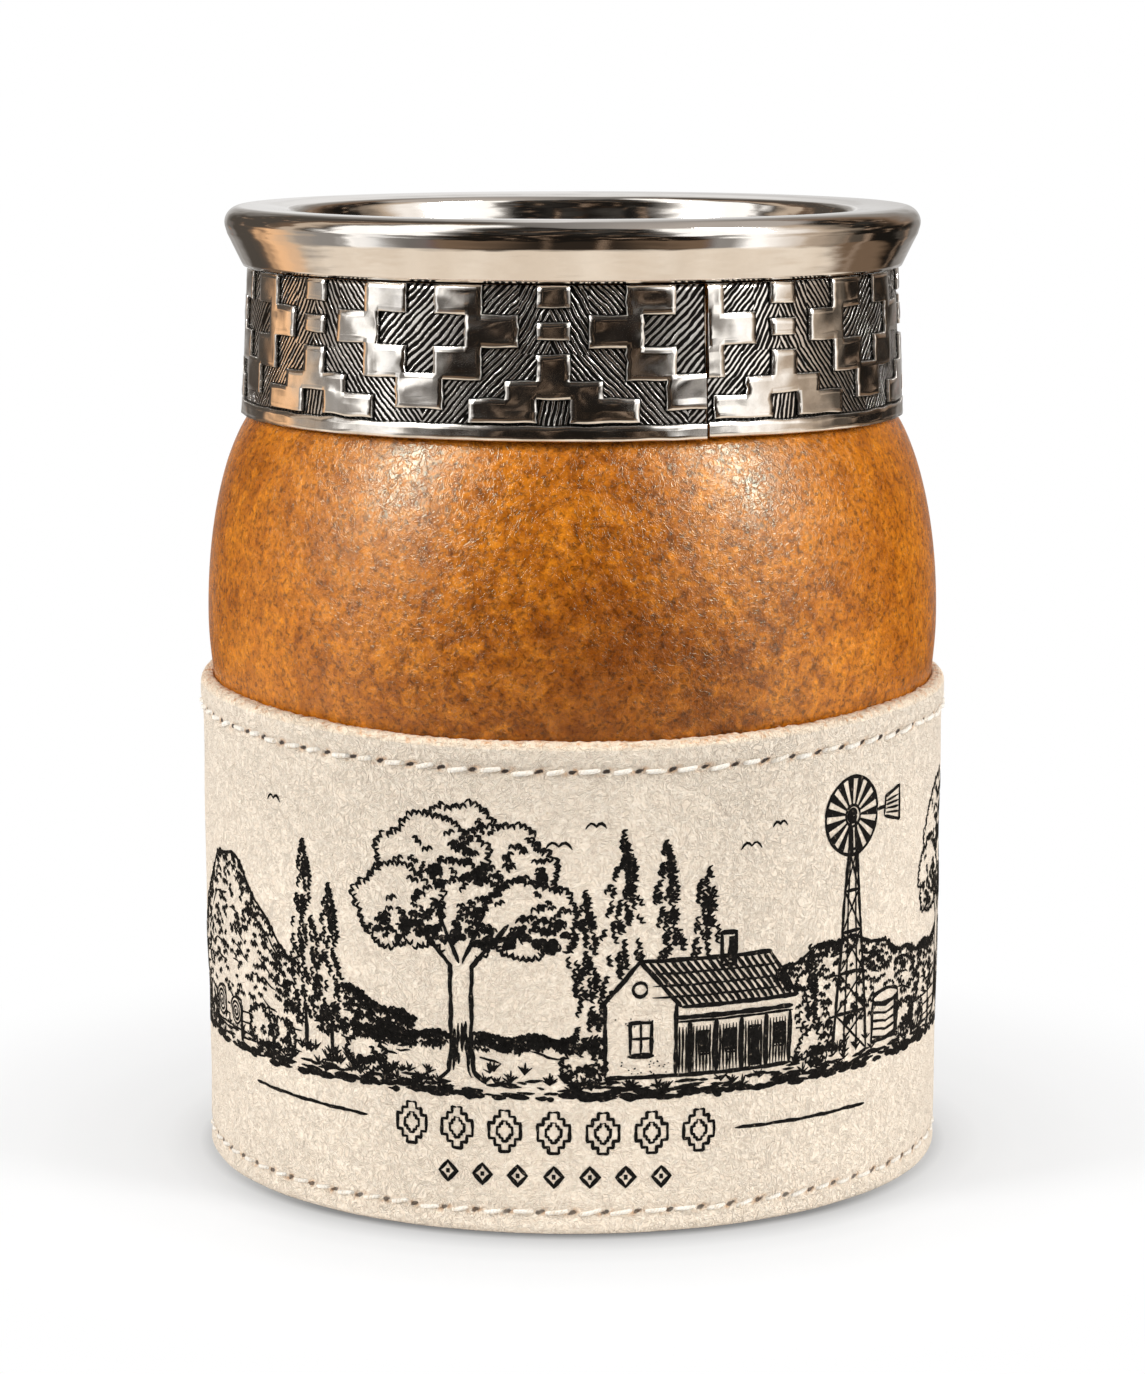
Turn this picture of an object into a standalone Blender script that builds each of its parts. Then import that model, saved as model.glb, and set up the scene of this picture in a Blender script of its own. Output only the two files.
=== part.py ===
"""Mate cup: a calabash gourd with a chiselled metal neck band, a spun rim and a leather sleeve.

Metres, +Z up. The origin is at the middle of the underside, and the photographed front faces -Y.
"""
import math

import bmesh
import bpy
from mathutils import Vector

MM = 0.001

# Fits and fineness
FIT = 0.3 * MM                  # clearance between pieces that touch
STEPS = 48                      # facets round a turned piece

# Gourd
BELLY_R = 43.2 * MM             # widest radius, between the band and the leather
BELLY_Z = 64.0 * MM
WAIST_R = 41.8 * MM             # where the leather has drawn the gourd straight
WAIST_Z = 48.0 * MM
FOOT_R = 41.5 * MM
FOOT_CORNER = 13.0 * MM         # round of the gourd's bottom edge
SHOULDER_POWER = 0.75           # 0.5 would make the shoulder an ellipse
GOURD_WALL = 5.0 * MM
GOURD_FLOOR = 5.5 * MM

# Neck and what it carries
NECK_TOP_R = 36.95 * MM
NECK_TAPER = 0.8 * MM           # how much wider the neck is at the foot of the band
NECK_FOOT_Z = 88.0 * MM         # lower edge of the band
NECK_WALL = 4.05 * MM           # wall left at the neck's cut top
LINER_DEPTH = 15.0 * MM         # how far the liner reaches below the lip
LINER_SHEET = 0.7 * MM
LINER_DRAW = 0.5 * MM           # how far the liner's foot is drawn in

# Chiselled band, drawn flat before it is rolled
BAND_SHEET = 0.55 * MM          # metal left under the hatched ground
RELIEF = 0.4 * MM               # how far the polished steps stand out
BORDER = 1.7 * MM               # plain strip along the lower edge
GROOVE = 0.3 * MM               # line between the border and the pattern
REPEATS = 8
SEAM_ANGLE = math.radians(22.5)  # butt joint, from the front towards +X
SEAM_GAP = 0.3 * MM

# Widths of one repeat, from the middle of its cross
CROSS_CORE = 1.7 * MM           # half the cross's upright
FRAME_FOOT = 2.9 * MM           # half the block under the cross
CROSS_ARM = 5.35 * MM           # end of the cross's arm
PYRAMID_BASE = 5.9 * MM         # outer end of the pyramid's lowest step
FRAME_EDGE = 7.3 * MM           # outer edge of the frame round the cross
PYRAMID_STEP = 9.9 * MM         # outer end of the pyramid's middle step
FRAME_ARM = 11.35 * MM          # end of the frame's side arm
PYRAMID_TOP = 13.4 * MM         # edge of the pyramid's top block and of the studs

# Heights of the pattern, down from its upper edge
STUD_1_FOOT = 2.4 * MM
ARM_TOP = 3.2 * MM
STUD_2_TOP = 4.0 * MM
STUD_2_FOOT = 5.9 * MM
ARM_FOOT = 6.75 * MM
PYRAMID_CROWN = 7.5 * MM
CROSS_FOOT = 9.7 * MM
STEP_2_TOP = 10.35 * MM
STEP_3_TOP = 12.3 * MM
BLOCK_FOOT = 13.6 * MM
PATTERN_HEIGHT = 14.9 * MM

# Spun rim
RIM_SHEET = 0.8 * MM
RIM_LAP = 0.4 * MM              # the cone's foot stands out this much over the band's steps
CONE_HEIGHT = 3.75 * MM
CONE_FLARE = 1.85 * MM          # how far the cone opens over its height
BEAD_R = 1.9 * MM               # round of the rim's outer edge
BEAD_OVERHANG = 0.25 * MM       # from the cone's top out to the bead's edge
BEAD_RISE = 1.2 * MM            # from the cone's top up to the bead's middle
LIP_FALL = 0.4 * MM             # the lip slopes down this much to the mouth
LIP_ROUND = 1.3 * MM            # round of the lip's inner edge

# Leather
LEATHER = 1.8 * MM
SLEEVE_HEIGHT = 56.0 * MM
SLEEVE_SEAM = 0.4 * MM          # butt joint of the sleeve, at the back
SLEEVE_EDGE = 0.35 * MM         # softened cut edge
BASE_LEATHER = 2.0 * MM
BASE_CORNER = 2.4 * MM          # outer round of the base's edge

# Sizes that follow from these
GOURD_Z = BASE_LEATHER + FIT
BAND_HEIGHT = PATTERN_HEIGHT + GROOVE + BORDER
BAND_TOP_Z = NECK_FOOT_Z + BAND_HEIGHT
RIM_Z = BAND_TOP_Z + FIT
NECK_FOOT_R = NECK_TOP_R + NECK_TAPER
NECK_BORE = NECK_TOP_R - NECK_WALL
MOUTH_R = NECK_BORE - FIT - LINER_SHEET  # inner edge of the lip and bore of the liner


def material(name, colour, roughness, metallic=0.0):
    """Return a Principled material."""
    made = bpy.data.materials.new(name)
    made.use_nodes = True
    shader = made.node_tree.nodes["Principled BSDF"]
    shader.inputs["Base Color"].default_value = (*colour, 1.0)
    shader.inputs["Roughness"].default_value = roughness
    shader.inputs["Metallic"].default_value = metallic
    return made


def add_part(name, mesh, skin):
    """Put a mesh in the cup's collection as a smooth-shaded object."""
    mesh.materials.append(skin)
    mesh.shade_smooth()
    mesh.set_sharp_from_angle(angle=math.radians(35))
    part = bpy.data.objects.new(name, mesh)
    cup.objects.link(part)
    return part


def turned(name, profile, skin, closed=False, turn=math.tau):
    """Revolve a run of (radius, height) points, outer side downwards, about Z."""
    mesh = bpy.data.meshes.new(name)
    edges = [(i, i + 1) for i in range(len(profile) - 1)]
    if closed:
        edges.append((len(profile) - 1, 0))
    mesh.from_pydata([(r, 0.0, z) for r, z in profile], edges, [])
    part = add_part(name, mesh, skin)
    screw = part.modifiers.new("Turn", "SCREW")
    screw.axis = "Z"
    screw.angle = turn
    screw.steps = STEPS
    screw.render_steps = STEPS
    screw.use_smooth_shade = True
    screw.use_merge_vertices = True
    screw.merge_threshold = 0.00001
    return part


def thicken(part, sheet):
    """Give an open surface its wall, inwards from the face that shows."""
    shell = part.modifiers.new("Wall", "SOLIDIFY")
    shell.thickness = sheet
    shell.offset = -1.0
    shell.use_even_offset = True
    return part


def arc(centre, radius, start, end, count):
    """Points on an arc from one angle to another, both included."""
    angles = [start + (end - start) * i / count for i in range(count + 1)]
    return [(centre[0] + radius * math.cos(a), centre[1] + radius * math.sin(a)) for a in angles]


def offset(path, distance):
    """Shift a run of points sideways, to the right of its direction when positive."""
    moved = []
    for i, point in enumerate(path):
        before = Vector(path[max(i - 1, 0)])
        after = Vector(path[min(i + 1, len(path) - 1)])
        along = (after - before).normalized()
        moved.append((point[0] + along.y * distance, point[1] - along.x * distance))
    return moved


def neck_radius(z):
    """The neck widens evenly from its cut top to the foot of the band."""
    share = (BAND_TOP_Z - z) / BAND_HEIGHT
    return NECK_TOP_R + (NECK_FOOT_R - NECK_TOP_R) * share


def gourd_radius(z):
    """Outer radius of the gourd at a height."""
    if z >= NECK_FOOT_Z:
        return neck_radius(z)
    if z >= BELLY_Z:
        rise = (z - BELLY_Z) / (NECK_FOOT_Z - BELLY_Z)
        return NECK_FOOT_R + (BELLY_R - NECK_FOOT_R) * (1 - rise ** 2) ** SHOULDER_POWER
    if z >= WAIST_Z:
        drop = (BELLY_Z - z) / (BELLY_Z - WAIST_Z)
        return WAIST_R + (BELLY_R - WAIST_R) * (1 + math.cos(math.pi * drop)) / 2
    corner_z = GOURD_Z + FOOT_CORNER
    share = (WAIST_Z - max(z, corner_z)) / (WAIST_Z - corner_z)
    straight = WAIST_R + (FOOT_R - WAIST_R) * share
    drop = max(corner_z - z, 0.0)
    return straight - FOOT_CORNER + math.sqrt(FOOT_CORNER ** 2 - drop ** 2)


def between(start, end, count):
    """Heights spaced evenly after the start, up to and with the end."""
    return [start + (end - start) * (i + 1) / count for i in range(count)]


def gourd_shell():
    """Calabash: its wall follows the outside, and its neck is bored for the liner."""
    heights = [BAND_TOP_Z, NECK_FOOT_Z]
    heights += [BELLY_Z + (NECK_FOOT_Z - BELLY_Z) * math.sin(a) for a in between(math.pi / 2, 0, 8)]
    heights += between(BELLY_Z, WAIST_Z, 4)
    heights.append(GOURD_Z + FOOT_CORNER)
    outside = [(gourd_radius(z), z) for z in sorted(set(heights), reverse=True)]
    corner = (FOOT_R - FOOT_CORNER, GOURD_Z + FOOT_CORNER)
    outside += arc(corner, FOOT_CORNER, 0, -math.pi / 2, 6)[1:]
    outside.append((0.0, GOURD_Z))
    floor_z = GOURD_Z + GOURD_FLOOR
    inner_corner = FOOT_CORNER - GOURD_WALL / 2
    round_at = (FOOT_R - GOURD_WALL - inner_corner, floor_z + inner_corner)
    inside = [(0.0, floor_z)] + arc(round_at, inner_corner, -math.pi / 2, 0, 5)
    for z in [WAIST_Z] + between(WAIST_Z, BELLY_Z, 3) + between(BELLY_Z, NECK_FOOT_Z, 6)[:-1]:
        inside.append((max(gourd_radius(z) - GOURD_WALL, NECK_BORE), z))
    inside += [(NECK_BORE, NECK_FOOT_Z), (NECK_BORE, BAND_TOP_Z)]
    return turned("gourd_shell", inside + outside, calabash)


def rim_path():
    """Outside of the rim: from the mouth over the lip and the bead, down the cone."""
    foot_r = NECK_TOP_R + FIT + BAND_SHEET + RELIEF + RIM_LAP
    cone_top = (foot_r + CONE_FLARE, RIM_Z + CONE_HEIGHT)
    bead_at = (cone_top[0] + BEAD_OVERHANG - BEAD_R, cone_top[1] + BEAD_RISE)
    lean = math.atan2(cone_top[1] - bead_at[1], cone_top[0] - bead_at[0])
    bead = arc(bead_at, BEAD_R, math.pi / 2, lean / 2, 5)
    lip_at = (MOUTH_R + LIP_ROUND, bead_at[1] + BEAD_R - LIP_FALL - LIP_ROUND)
    lip = arc(lip_at, LIP_ROUND, math.pi, math.pi / 2, 3)
    return lip + bead + [cone_top, (foot_r, RIM_Z)]


def rim_collar():
    """Spun sheet: lip, bead and cone in one."""
    return thicken(turned("rim_collar", rim_path(), polished), RIM_SHEET)


def mouth_liner():
    """Tube that carries the lip's wall on down into the neck, drawn in at its foot."""
    top_z = rim_path()[0][1] - FIT
    outer_r = MOUTH_R + LINER_SHEET
    path = [(outer_r, top_z), (outer_r, top_z - LINER_DEPTH * 2 / 3)]
    path.append((outer_r - LINER_DRAW, top_z - LINER_DEPTH))
    return thicken(turned("mouth_liner", path, polished), LINER_SHEET)


def neck_bedding():
    """Ring of cement that fills the rim above the cut neck."""
    roof = [p for p in offset(rim_path(), RIM_SHEET + FIT) if p[0] > NECK_BORE and p[1] > RIM_Z]
    ring = [(NECK_BORE, roof[0][1] - FIT)] + roof + [(NECK_TOP_R, RIM_Z), (NECK_BORE, RIM_Z)]
    return turned("neck_bedding", ring, cement, closed=True)


def raised_shapes(half_repeat):
    """Polished steps as (from, to) across from the cross's middle and (from, to) down."""
    return (
        (CROSS_CORE, FRAME_EDGE, 0.0, ARM_TOP),
        (CROSS_ARM, FRAME_ARM, ARM_TOP, ARM_FOOT),
        (CROSS_CORE, FRAME_EDGE, ARM_FOOT, STEP_2_TOP),
        (0.0, FRAME_FOOT, CROSS_FOOT, BLOCK_FOOT),
        (PYRAMID_TOP, half_repeat, 0.0, STUD_1_FOOT),
        (PYRAMID_TOP, half_repeat, STUD_2_TOP, STUD_2_FOOT),
        (PYRAMID_TOP, half_repeat, PYRAMID_CROWN, STEP_2_TOP),
        (PYRAMID_STEP, half_repeat, STEP_2_TOP, STEP_3_TOP),
        (PYRAMID_BASE, PYRAMID_TOP, STEP_3_TOP, PATTERN_HEIGHT),
        (0.0, half_repeat, PATTERN_HEIGHT + GROOVE, BAND_HEIGHT),
    )


def pattern_lines(length, repeat):
    """Places along the strip where an edge of the pattern runs up and down."""
    marks = {0.0, repeat / 2}
    for left, right, _, _ in raised_shapes(repeat / 2):
        marks |= {left, right}
    places = set()
    for i in range(REPEATS + 1):
        for mark in marks:
            places |= {i * repeat - mark, i * repeat + mark}
    inside = {round(u - CROSS_ARM, 7) for u in places}
    return sorted(u for u in inside if 0.0 <= u <= round(length, 7))


def is_raised(along, down, repeat):
    """Whether a point of the flat strip lies on a polished step."""
    across = abs((along + CROSS_ARM + repeat / 2) % repeat - repeat / 2)
    shapes = raised_shapes(repeat / 2)
    return any(a < across < b and top < down < foot for a, b, top, foot in shapes)


def chiselled_band():
    """Strip of sheet with its stepped pattern raised, then rolled round the neck.

    Flat, x runs along the strip from its butt joint, y up and z outwards.
    """
    roll_r = neck_radius(NECK_FOOT_Z + BAND_HEIGHT / 2) + FIT + BAND_SHEET
    length = math.tau * roll_r - SEAM_GAP
    repeat = (length + CROSS_ARM - CROSS_CORE) / REPEATS
    across = pattern_lines(length, repeat)
    downs = {0.0, BAND_HEIGHT}
    for _, _, top, foot in raised_shapes(repeat / 2):
        downs |= {top, foot}
    up = sorted(BAND_HEIGHT - d for d in downs)
    strip = bmesh.new()
    bmesh.ops.create_grid(strip, x_segments=len(across) - 1, y_segments=len(up) - 1, size=1.0)
    for vert in strip.verts:
        column = round((vert.co.x + 1) / 2 * (len(across) - 1))
        row = round((vert.co.y + 1) / 2 * (len(up) - 1))
        vert.co = Vector((across[column], up[row], 0.0))
    front = strip.faces[:]
    back = bmesh.ops.extrude_face_region(strip, geom=front)
    for vert in [v for v in back["geom"] if isinstance(v, bmesh.types.BMVert)]:
        vert.co.z -= BAND_SHEET
    bmesh.ops.recalc_face_normals(strip, faces=strip.faces)
    steps = []
    for face in front:
        middle = face.calc_center_median()
        if is_raised(middle.x, BAND_HEIGHT - middle.y, repeat):
            steps.append(face)
    proud = bmesh.ops.extrude_face_region(strip, geom=steps)
    for vert in [v for v in proud["geom"] if isinstance(v, bmesh.types.BMVert)]:
        vert.co.z += RELIEF
    bmesh.ops.delete(strip, geom=[f for f in steps if f.is_valid], context="FACES_ONLY")
    for vert in strip.verts:
        angle = SEAM_ANGLE + (vert.co.x + SEAM_GAP / 2) / roll_r
        z = NECK_FOOT_Z + vert.co.y
        radius = neck_radius(z) + FIT + BAND_SHEET + vert.co.z
        vert.co = Vector((radius * math.sin(angle), -radius * math.cos(angle), z))
    mesh = bpy.data.meshes.new("chiselled_band")
    strip.to_mesh(mesh)
    strip.free()
    return add_part("chiselled_band", mesh, chiselled)


def soften(part, width):
    """Round the cut edges of a piece."""
    bevel = part.modifiers.new("Cut edge", "BEVEL")
    bevel.limit_method = "ANGLE"
    bevel.angle_limit = math.radians(40)
    bevel.width = width
    bevel.segments = 1
    return part


def leather_sleeve():
    """Strip of leather drawn tight over the gourd, butted at the back."""
    straight_z = GOURD_Z + FOOT_CORNER
    heights = [SLEEVE_HEIGHT] + between(SLEEVE_HEIGHT, WAIST_Z, 4) + [straight_z, 0.0]
    path = [(gourd_radius(max(z, straight_z)) + FIT + LEATHER, z) for z in heights]
    gap = SLEEVE_SEAM / path[-1][0]
    part = thicken(turned("leather_sleeve", path, pale_leather, turn=math.tau - gap), LEATHER)
    part.rotation_euler.z = math.pi / 2 + gap / 2
    return soften(part, SLEEVE_EDGE)


def base_cup():
    """Leather bottom, moulded up until the gourd's round meets its edge."""
    reach = FOOT_CORNER - BASE_LEATHER - FIT
    skirt_z = GOURD_Z + FOOT_CORNER - math.sqrt(FOOT_CORNER ** 2 - reach ** 2)
    corner = (FOOT_R - BASE_CORNER, BASE_CORNER)
    path = [(FOOT_R, skirt_z)] + arc(corner, BASE_CORNER, 0, -math.pi / 2, 3) + [(0.0, 0.0)]
    return thicken(turned("base_cup", path, base_leather), BASE_LEATHER)


for old in list(bpy.data.objects):
    bpy.data.objects.remove(old, do_unlink=True)
cup = bpy.data.collections.new("leather_covered_mate_gourd")
bpy.context.scene.collection.children.link(cup)

calabash = material("calabash", (0.50, 0.17, 0.035), 0.32)
polished = material("polished_nickel_silver", (0.74, 0.69, 0.63), 0.10, 1.0)
chiselled = material("chiselled_nickel_silver", (0.46, 0.43, 0.39), 0.28, 1.0)
cement = material("bedding_cement", (0.60, 0.57, 0.52), 0.90)
pale_leather = material("pale_leather", (0.75, 0.65, 0.52), 0.72)
base_leather = material("base_leather", (0.56, 0.38, 0.24), 0.80)

gourd_shell()
chiselled_band()
neck_bedding()
mouth_liner()
rim_collar()
leather_sleeve()
base_cup()
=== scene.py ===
# Looks of a leather-covered mate gourd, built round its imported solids.
# Shapes are worked out in millimetres and stored in metres, +Z up. The front faces -Y, and
# turns are angles from the front towards +X.
import math

import bpy
import numpy as np
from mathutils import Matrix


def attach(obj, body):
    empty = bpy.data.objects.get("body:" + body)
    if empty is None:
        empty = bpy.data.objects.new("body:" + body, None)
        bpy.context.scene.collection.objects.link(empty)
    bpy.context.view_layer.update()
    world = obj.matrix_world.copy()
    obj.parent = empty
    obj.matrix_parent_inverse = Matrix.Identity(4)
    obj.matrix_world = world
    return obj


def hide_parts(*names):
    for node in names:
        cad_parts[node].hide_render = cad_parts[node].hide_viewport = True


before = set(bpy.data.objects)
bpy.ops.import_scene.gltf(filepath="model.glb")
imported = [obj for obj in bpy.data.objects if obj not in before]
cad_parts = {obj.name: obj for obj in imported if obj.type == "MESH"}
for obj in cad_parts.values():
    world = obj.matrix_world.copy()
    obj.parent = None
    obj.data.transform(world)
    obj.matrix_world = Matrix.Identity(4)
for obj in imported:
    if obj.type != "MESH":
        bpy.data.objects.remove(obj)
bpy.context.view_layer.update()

# The gourd. A dried calabash, sawn off at the neck and scraped out, then stained and
# lacquered outside. It bulges between the metal band and the leather, which holds the lower
# half straight. Inside it is bare, cured dark by the first fillings.
NECK_TOP, NECK_FOOT, BELLY, WAIST, FOOT = 104.9, 88.0, 64.0, 48.0, 2.3
FOOT_ROUND, GOURD_WALL, GOURD_FLOOR, NECK_BORE = 13.0, 5.0, 5.5, 32.9
GOURD_COLUMNS, NECK_ROWS, FLOOR_ROWS, CORNER_ROWS = 288, 8, 8, 14


def neck_radius(z):
    """An even taper from 36.95 mm at the cut top to 37.75 mm at the foot of the band."""
    return 36.95 + 0.8 * (NECK_TOP - z) / (NECK_TOP - NECK_FOOT)


def gourd_radius(z):
    """Radius of the outside: the neck's taper, a shoulder that widens by (1 - rise squared) to
    the power 0.75, half a cosine wave in to the waist, and an even run to the foot."""
    rise = np.clip((z - BELLY) / (NECK_FOOT - BELLY), 0, 1)
    shoulder = 37.75 + 5.45 * (1 - rise ** 2) ** 0.75
    drop = np.clip((BELLY - z) / (BELLY - WAIST), 0, 1)
    belly = 41.8 + 1.4 * (1 + np.cos(np.pi * drop)) / 2
    run = 41.8 - 0.3 * (WAIST - np.maximum(z, FOOT + FOOT_ROUND)) / (WAIST - FOOT - FOOT_ROUND)
    corner = np.sqrt(np.maximum(FOOT_ROUND ** 2 - np.maximum(FOOT + FOOT_ROUND - z, 0) ** 2, 0))
    lower = run - FOOT_ROUND + corner
    return np.select([z >= NECK_FOOT, z >= BELLY, z >= WAIST], [neck_radius(z), shoulder, belly], lower)


def unevenness(turn, height, waves, finest, seed):
    """Smooth noise round a piece, mostly within 1: a sum of cosine waves of drawn direction
    and phase. Their counts round the piece are whole numbers up to finest, so it closes."""
    draw = np.random.default_rng(seed)
    total = 0.0
    for round_count, up_count, phase in zip(draw.integers(1, finest + 1, waves),
                                            draw.uniform(-finest, finest, waves),
                                            draw.uniform(0, 2 * np.pi, waves)):
        total = total + np.cos(round_count * turn + up_count * height / 40.0 + phase)
    return total / math.sqrt(waves)


def join_path(*runs):
    """One run of (radius, height) points from several, each a pair of equal-length arrays."""
    return np.concatenate([np.stack(np.broadcast_arrays(*run), axis=-1) for run in runs])


def arc(centre, radius, start, end, count):
    """Points (radius, height) on a circular arc, from one angle in degrees to another."""
    angle = np.radians(np.linspace(start, end, count))
    return centre[0] + radius * np.cos(angle), centre[1] + radius * np.sin(angle)


def turned_points(turn, radius, height):
    """Points round the cup's axis, from a turn, a radius and a height."""
    return np.stack(np.broadcast_arrays(radius * np.sin(turn), -radius * np.cos(turn), height), -1)


def mesh_piece(name, points, faces, uv=None):
    """Smooth piece from points in millimetres and faces. uv is one pair for each face corner."""
    mesh = bpy.data.meshes.new(name)
    mesh.from_pydata((points.reshape(-1, 3) * 0.001).tolist(), [], faces)
    if uv is not None:
        mesh.uv_layers.new(name="lay").data.foreach_set("uv", uv.astype(np.float32).ravel())
    mesh.shade_smooth()
    piece = bpy.data.objects.new(name, mesh)
    bpy.context.scene.collection.objects.link(piece)
    return piece


def grid_piece(name, points, uv=None, ring=False, loop=False, caps=()):
    """Piece with a vertex at each point of a grid in millimetres and a quad in each cell.

    Columns follow the second index, and ring joins the last to the first; loop does the same
    for rows. caps names the ends that one flat face closes: "first" or "last" row, or "sides"
    for the first and last column. uv is one pair for each point.
    """
    rows, columns = points.shape[:2]
    row, column = np.meshgrid(np.arange(rows if loop else rows - 1),
                              np.arange(columns if ring else columns - 1), indexing="ij")
    row, column = row.ravel(), column.ravel()
    corners = ((row, column), (row, column + 1), (row + 1, column + 1), (row + 1, column))
    faces = np.stack([(down % rows) * columns + right % columns for down, right in corners], axis=1).tolist()
    number = np.arange(rows * columns).reshape(rows, columns)
    ends = {"first": [number[0, ::-1]], "last": [number[-1]],
            "sides": [number[:, 0][::-1], number[:, -1]]}
    extra = [end.tolist() for cap in caps for end in ends[cap]]
    if uv is not None:
        pairs = np.stack([uv[down % rows, right] for down, right in corners], axis=1).reshape(-1, 2)
        uv = np.concatenate([pairs, np.zeros((sum(len(end) for end in extra), 2))])
    piece = mesh_piece(name, points, faces + extra, uv)
    piece.data.validate()
    return piece


def turned_piece(name, path, columns=256, sway=None, **options):
    """Piece turned about Z from a path that runs up outside and down inside. sway gives what
    is added to the radius from the turn and the height."""
    turn = np.linspace(0, 2 * np.pi, columns, endpoint=False)[None, :]
    radius, height = path[:, :1], path[:, 1:]
    if sway is not None:
        radius = radius + sway(turn, height)
    return grid_piece(name, turned_points(turn, radius, height), ring=True, **options)


class Wire:
    """A node's output that can be reckoned with: each + - * / ** or abs adds a Math node."""

    def __init__(self, socket):
        self.socket, self.tree = socket, socket.id_data

    def by(self, way, *others):
        """One arithmetic step, by the name that the Math node has for it."""
        return wire(self.tree, "Math", 0, dict(enumerate((self, *others))), operation=way)

    def __add__(self, other):
        return self.by("ADD", other)

    def __sub__(self, other):
        return self.by("SUBTRACT", other)

    def __rsub__(self, other):
        return wire(self.tree, "Math", 0, {0: other, 1: self}, operation="SUBTRACT")

    def __mul__(self, other):
        return self.by("MULTIPLY", other)

    def __truediv__(self, other):
        return self.by("DIVIDE", other)

    def __pow__(self, other):
        return self.by("POWER", other)

    def __abs__(self):
        return self.by("ABSOLUTE")


def feed(made, inputs):
    """Fill a node's inputs: a wire is joined, and a plain value or colour is set."""
    for name, value in inputs.items():
        socket = made.inputs[name]
        if isinstance(value, Wire):
            made.id_data.links.new(value.socket, socket)
        else:
            socket.default_value = (*value, 1) if socket.type == "RGBA" else value


def node(tree, kind, inputs=None, **settings):
    """Add a node with its settings and inputs."""
    made = tree.nodes.new("ShaderNode" + kind)
    for setting, value in settings.items():
        setattr(made, setting, value)
    feed(made, inputs or {})
    return made


def wire(tree, kind, output, inputs=None, **settings):
    """Add a node and take one of its outputs."""
    return Wire(node(tree, kind, inputs, **settings).outputs[output])


def recipe(name, **fixed):
    """New material: returns its tree and its Principled shader, whose own sockets hold what is
    the same all over the piece."""
    made = bpy.data.materials.new(name)
    made.use_nodes = True
    shader = made.node_tree.nodes["Principled BSDF"]
    feed(shader, {title.replace("_", " "): value for title, value in fixed.items()})
    return made, made.node_tree, shader


def object_place(tree):
    """The place on the piece, in its own coordinates."""
    return wire(tree, "TexCoord", "Object")


def axis(vector, letter):
    """One of a vector's three numbers."""
    return wire(vector.tree, "SeparateXYZ", letter, {"Vector": vector})


def stretched(vector, by):
    """A vector whose three numbers are multiplied by others."""
    return wire(vector.tree, "VectorMath", 0, {0: vector, 1: by}, operation="MULTIPLY")


def cloud(place, size, detail=4.0, rough=0.55, warp=0.0):
    """Noise value whose blotches are about that size in millimetres."""
    return wire(place.tree, "TexNoise", "Fac", {"Vector": place, "Scale": 1000.0 / size, "Detail": detail,
                                                "Roughness": rough, "Distortion": warp})


def ramp(value, *stops):
    """Colour or grey from a value, by (position, colour or grey) stops."""
    made = node(value.tree, "ValToRGB", {"Fac": value})
    while len(made.color_ramp.elements) < len(stops):
        made.color_ramp.elements.new(0.5)
    for element, (position, colour) in zip(made.color_ramp.elements, stops):
        element.position = position
        element.color = (*colour, 1) if isinstance(colour, tuple) else (colour, colour, colour, 1)
    return Wire(made.outputs["Color"])


def mixed(share, first, second, way="MIX"):
    """Two colours mixed by a share."""
    tree = next(value.tree for value in (share, first, second) if isinstance(value, Wire))
    return wire(tree, "Mix", 2, {0: share, 6: first, 7: second}, data_type="RGBA", blend_type=way)


def tinted(colour, by):
    """A colour multiplied by another colour or grey."""
    return mixed(1.0, colour, by, "MULTIPLY")


def eased_value(value, low, high):
    """0 below low, 1 above high, and an S curve between."""
    return wire(value.tree, "MapRange", 0, {"Value": value, "From Min": low, "From Max": high},
                interpolation_type="SMOOTHSTEP")


def raise_marks(shader, height, depth, strength=1.0):
    """Marks of that depth in millimetres, as a bump on the shader."""
    feed(shader, {"Normal": wire(shader.id_data, "Bump", "Normal",
                                 {"Height": height, "Distance": depth * 0.001, "Strength": strength})})


heights = np.concatenate([
    np.linspace(FOOT + FOOT_ROUND, WAIST, 12)[:-1], np.linspace(WAIST, BELLY, 40)[:-1],
    BELLY + (NECK_FOOT - BELLY) * np.sin(np.radians(np.linspace(0, 90, 60)))])
neck_heights = np.linspace(89, NECK_TOP - 0.3, NECK_ROWS)
inner_heights = np.linspace(84, 20, 40)
inner_round = FOOT_ROUND - GOURD_WALL / 2
gourd_path = join_path(
    (np.linspace(1.0, 28.0, FLOOR_ROWS), FOOT),
    arc((28.5, FOOT + FOOT_ROUND), FOOT_ROUND, -90, 0, CORNER_ROWS),
    (gourd_radius(heights), heights),
    (neck_radius(neck_heights), neck_heights),
    (np.linspace(36.7, NECK_BORE + 0.3, 4), NECK_TOP),
    (NECK_BORE, np.linspace(NECK_TOP - 0.3, 88, 6)),
    (np.maximum(gourd_radius(inner_heights) - GOURD_WALL, NECK_BORE), inner_heights),
    arc((36.5 - inner_round, FOOT + GOURD_FLOOR + inner_round), inner_round, 0, -90, CORNER_ROWS),
    (np.linspace(25.0, 1.0, FLOOR_ROWS), FOOT + GOURD_FLOOR))


def growth(turn, height):
    """Slow swellings of a tenth of a millimetre, only where the gourd shows."""
    shown = np.clip((height - 54) / 6, 0, 1) * np.clip((87.5 - height) / 5, 0, 1)
    return 0.10 * shown * unevenness(turn, height, 14, 7, 3)


gourd = turned_piece("gourd", gourd_path, columns=GOURD_COLUMNS, sway=growth, caps=("first", "last"))

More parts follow.
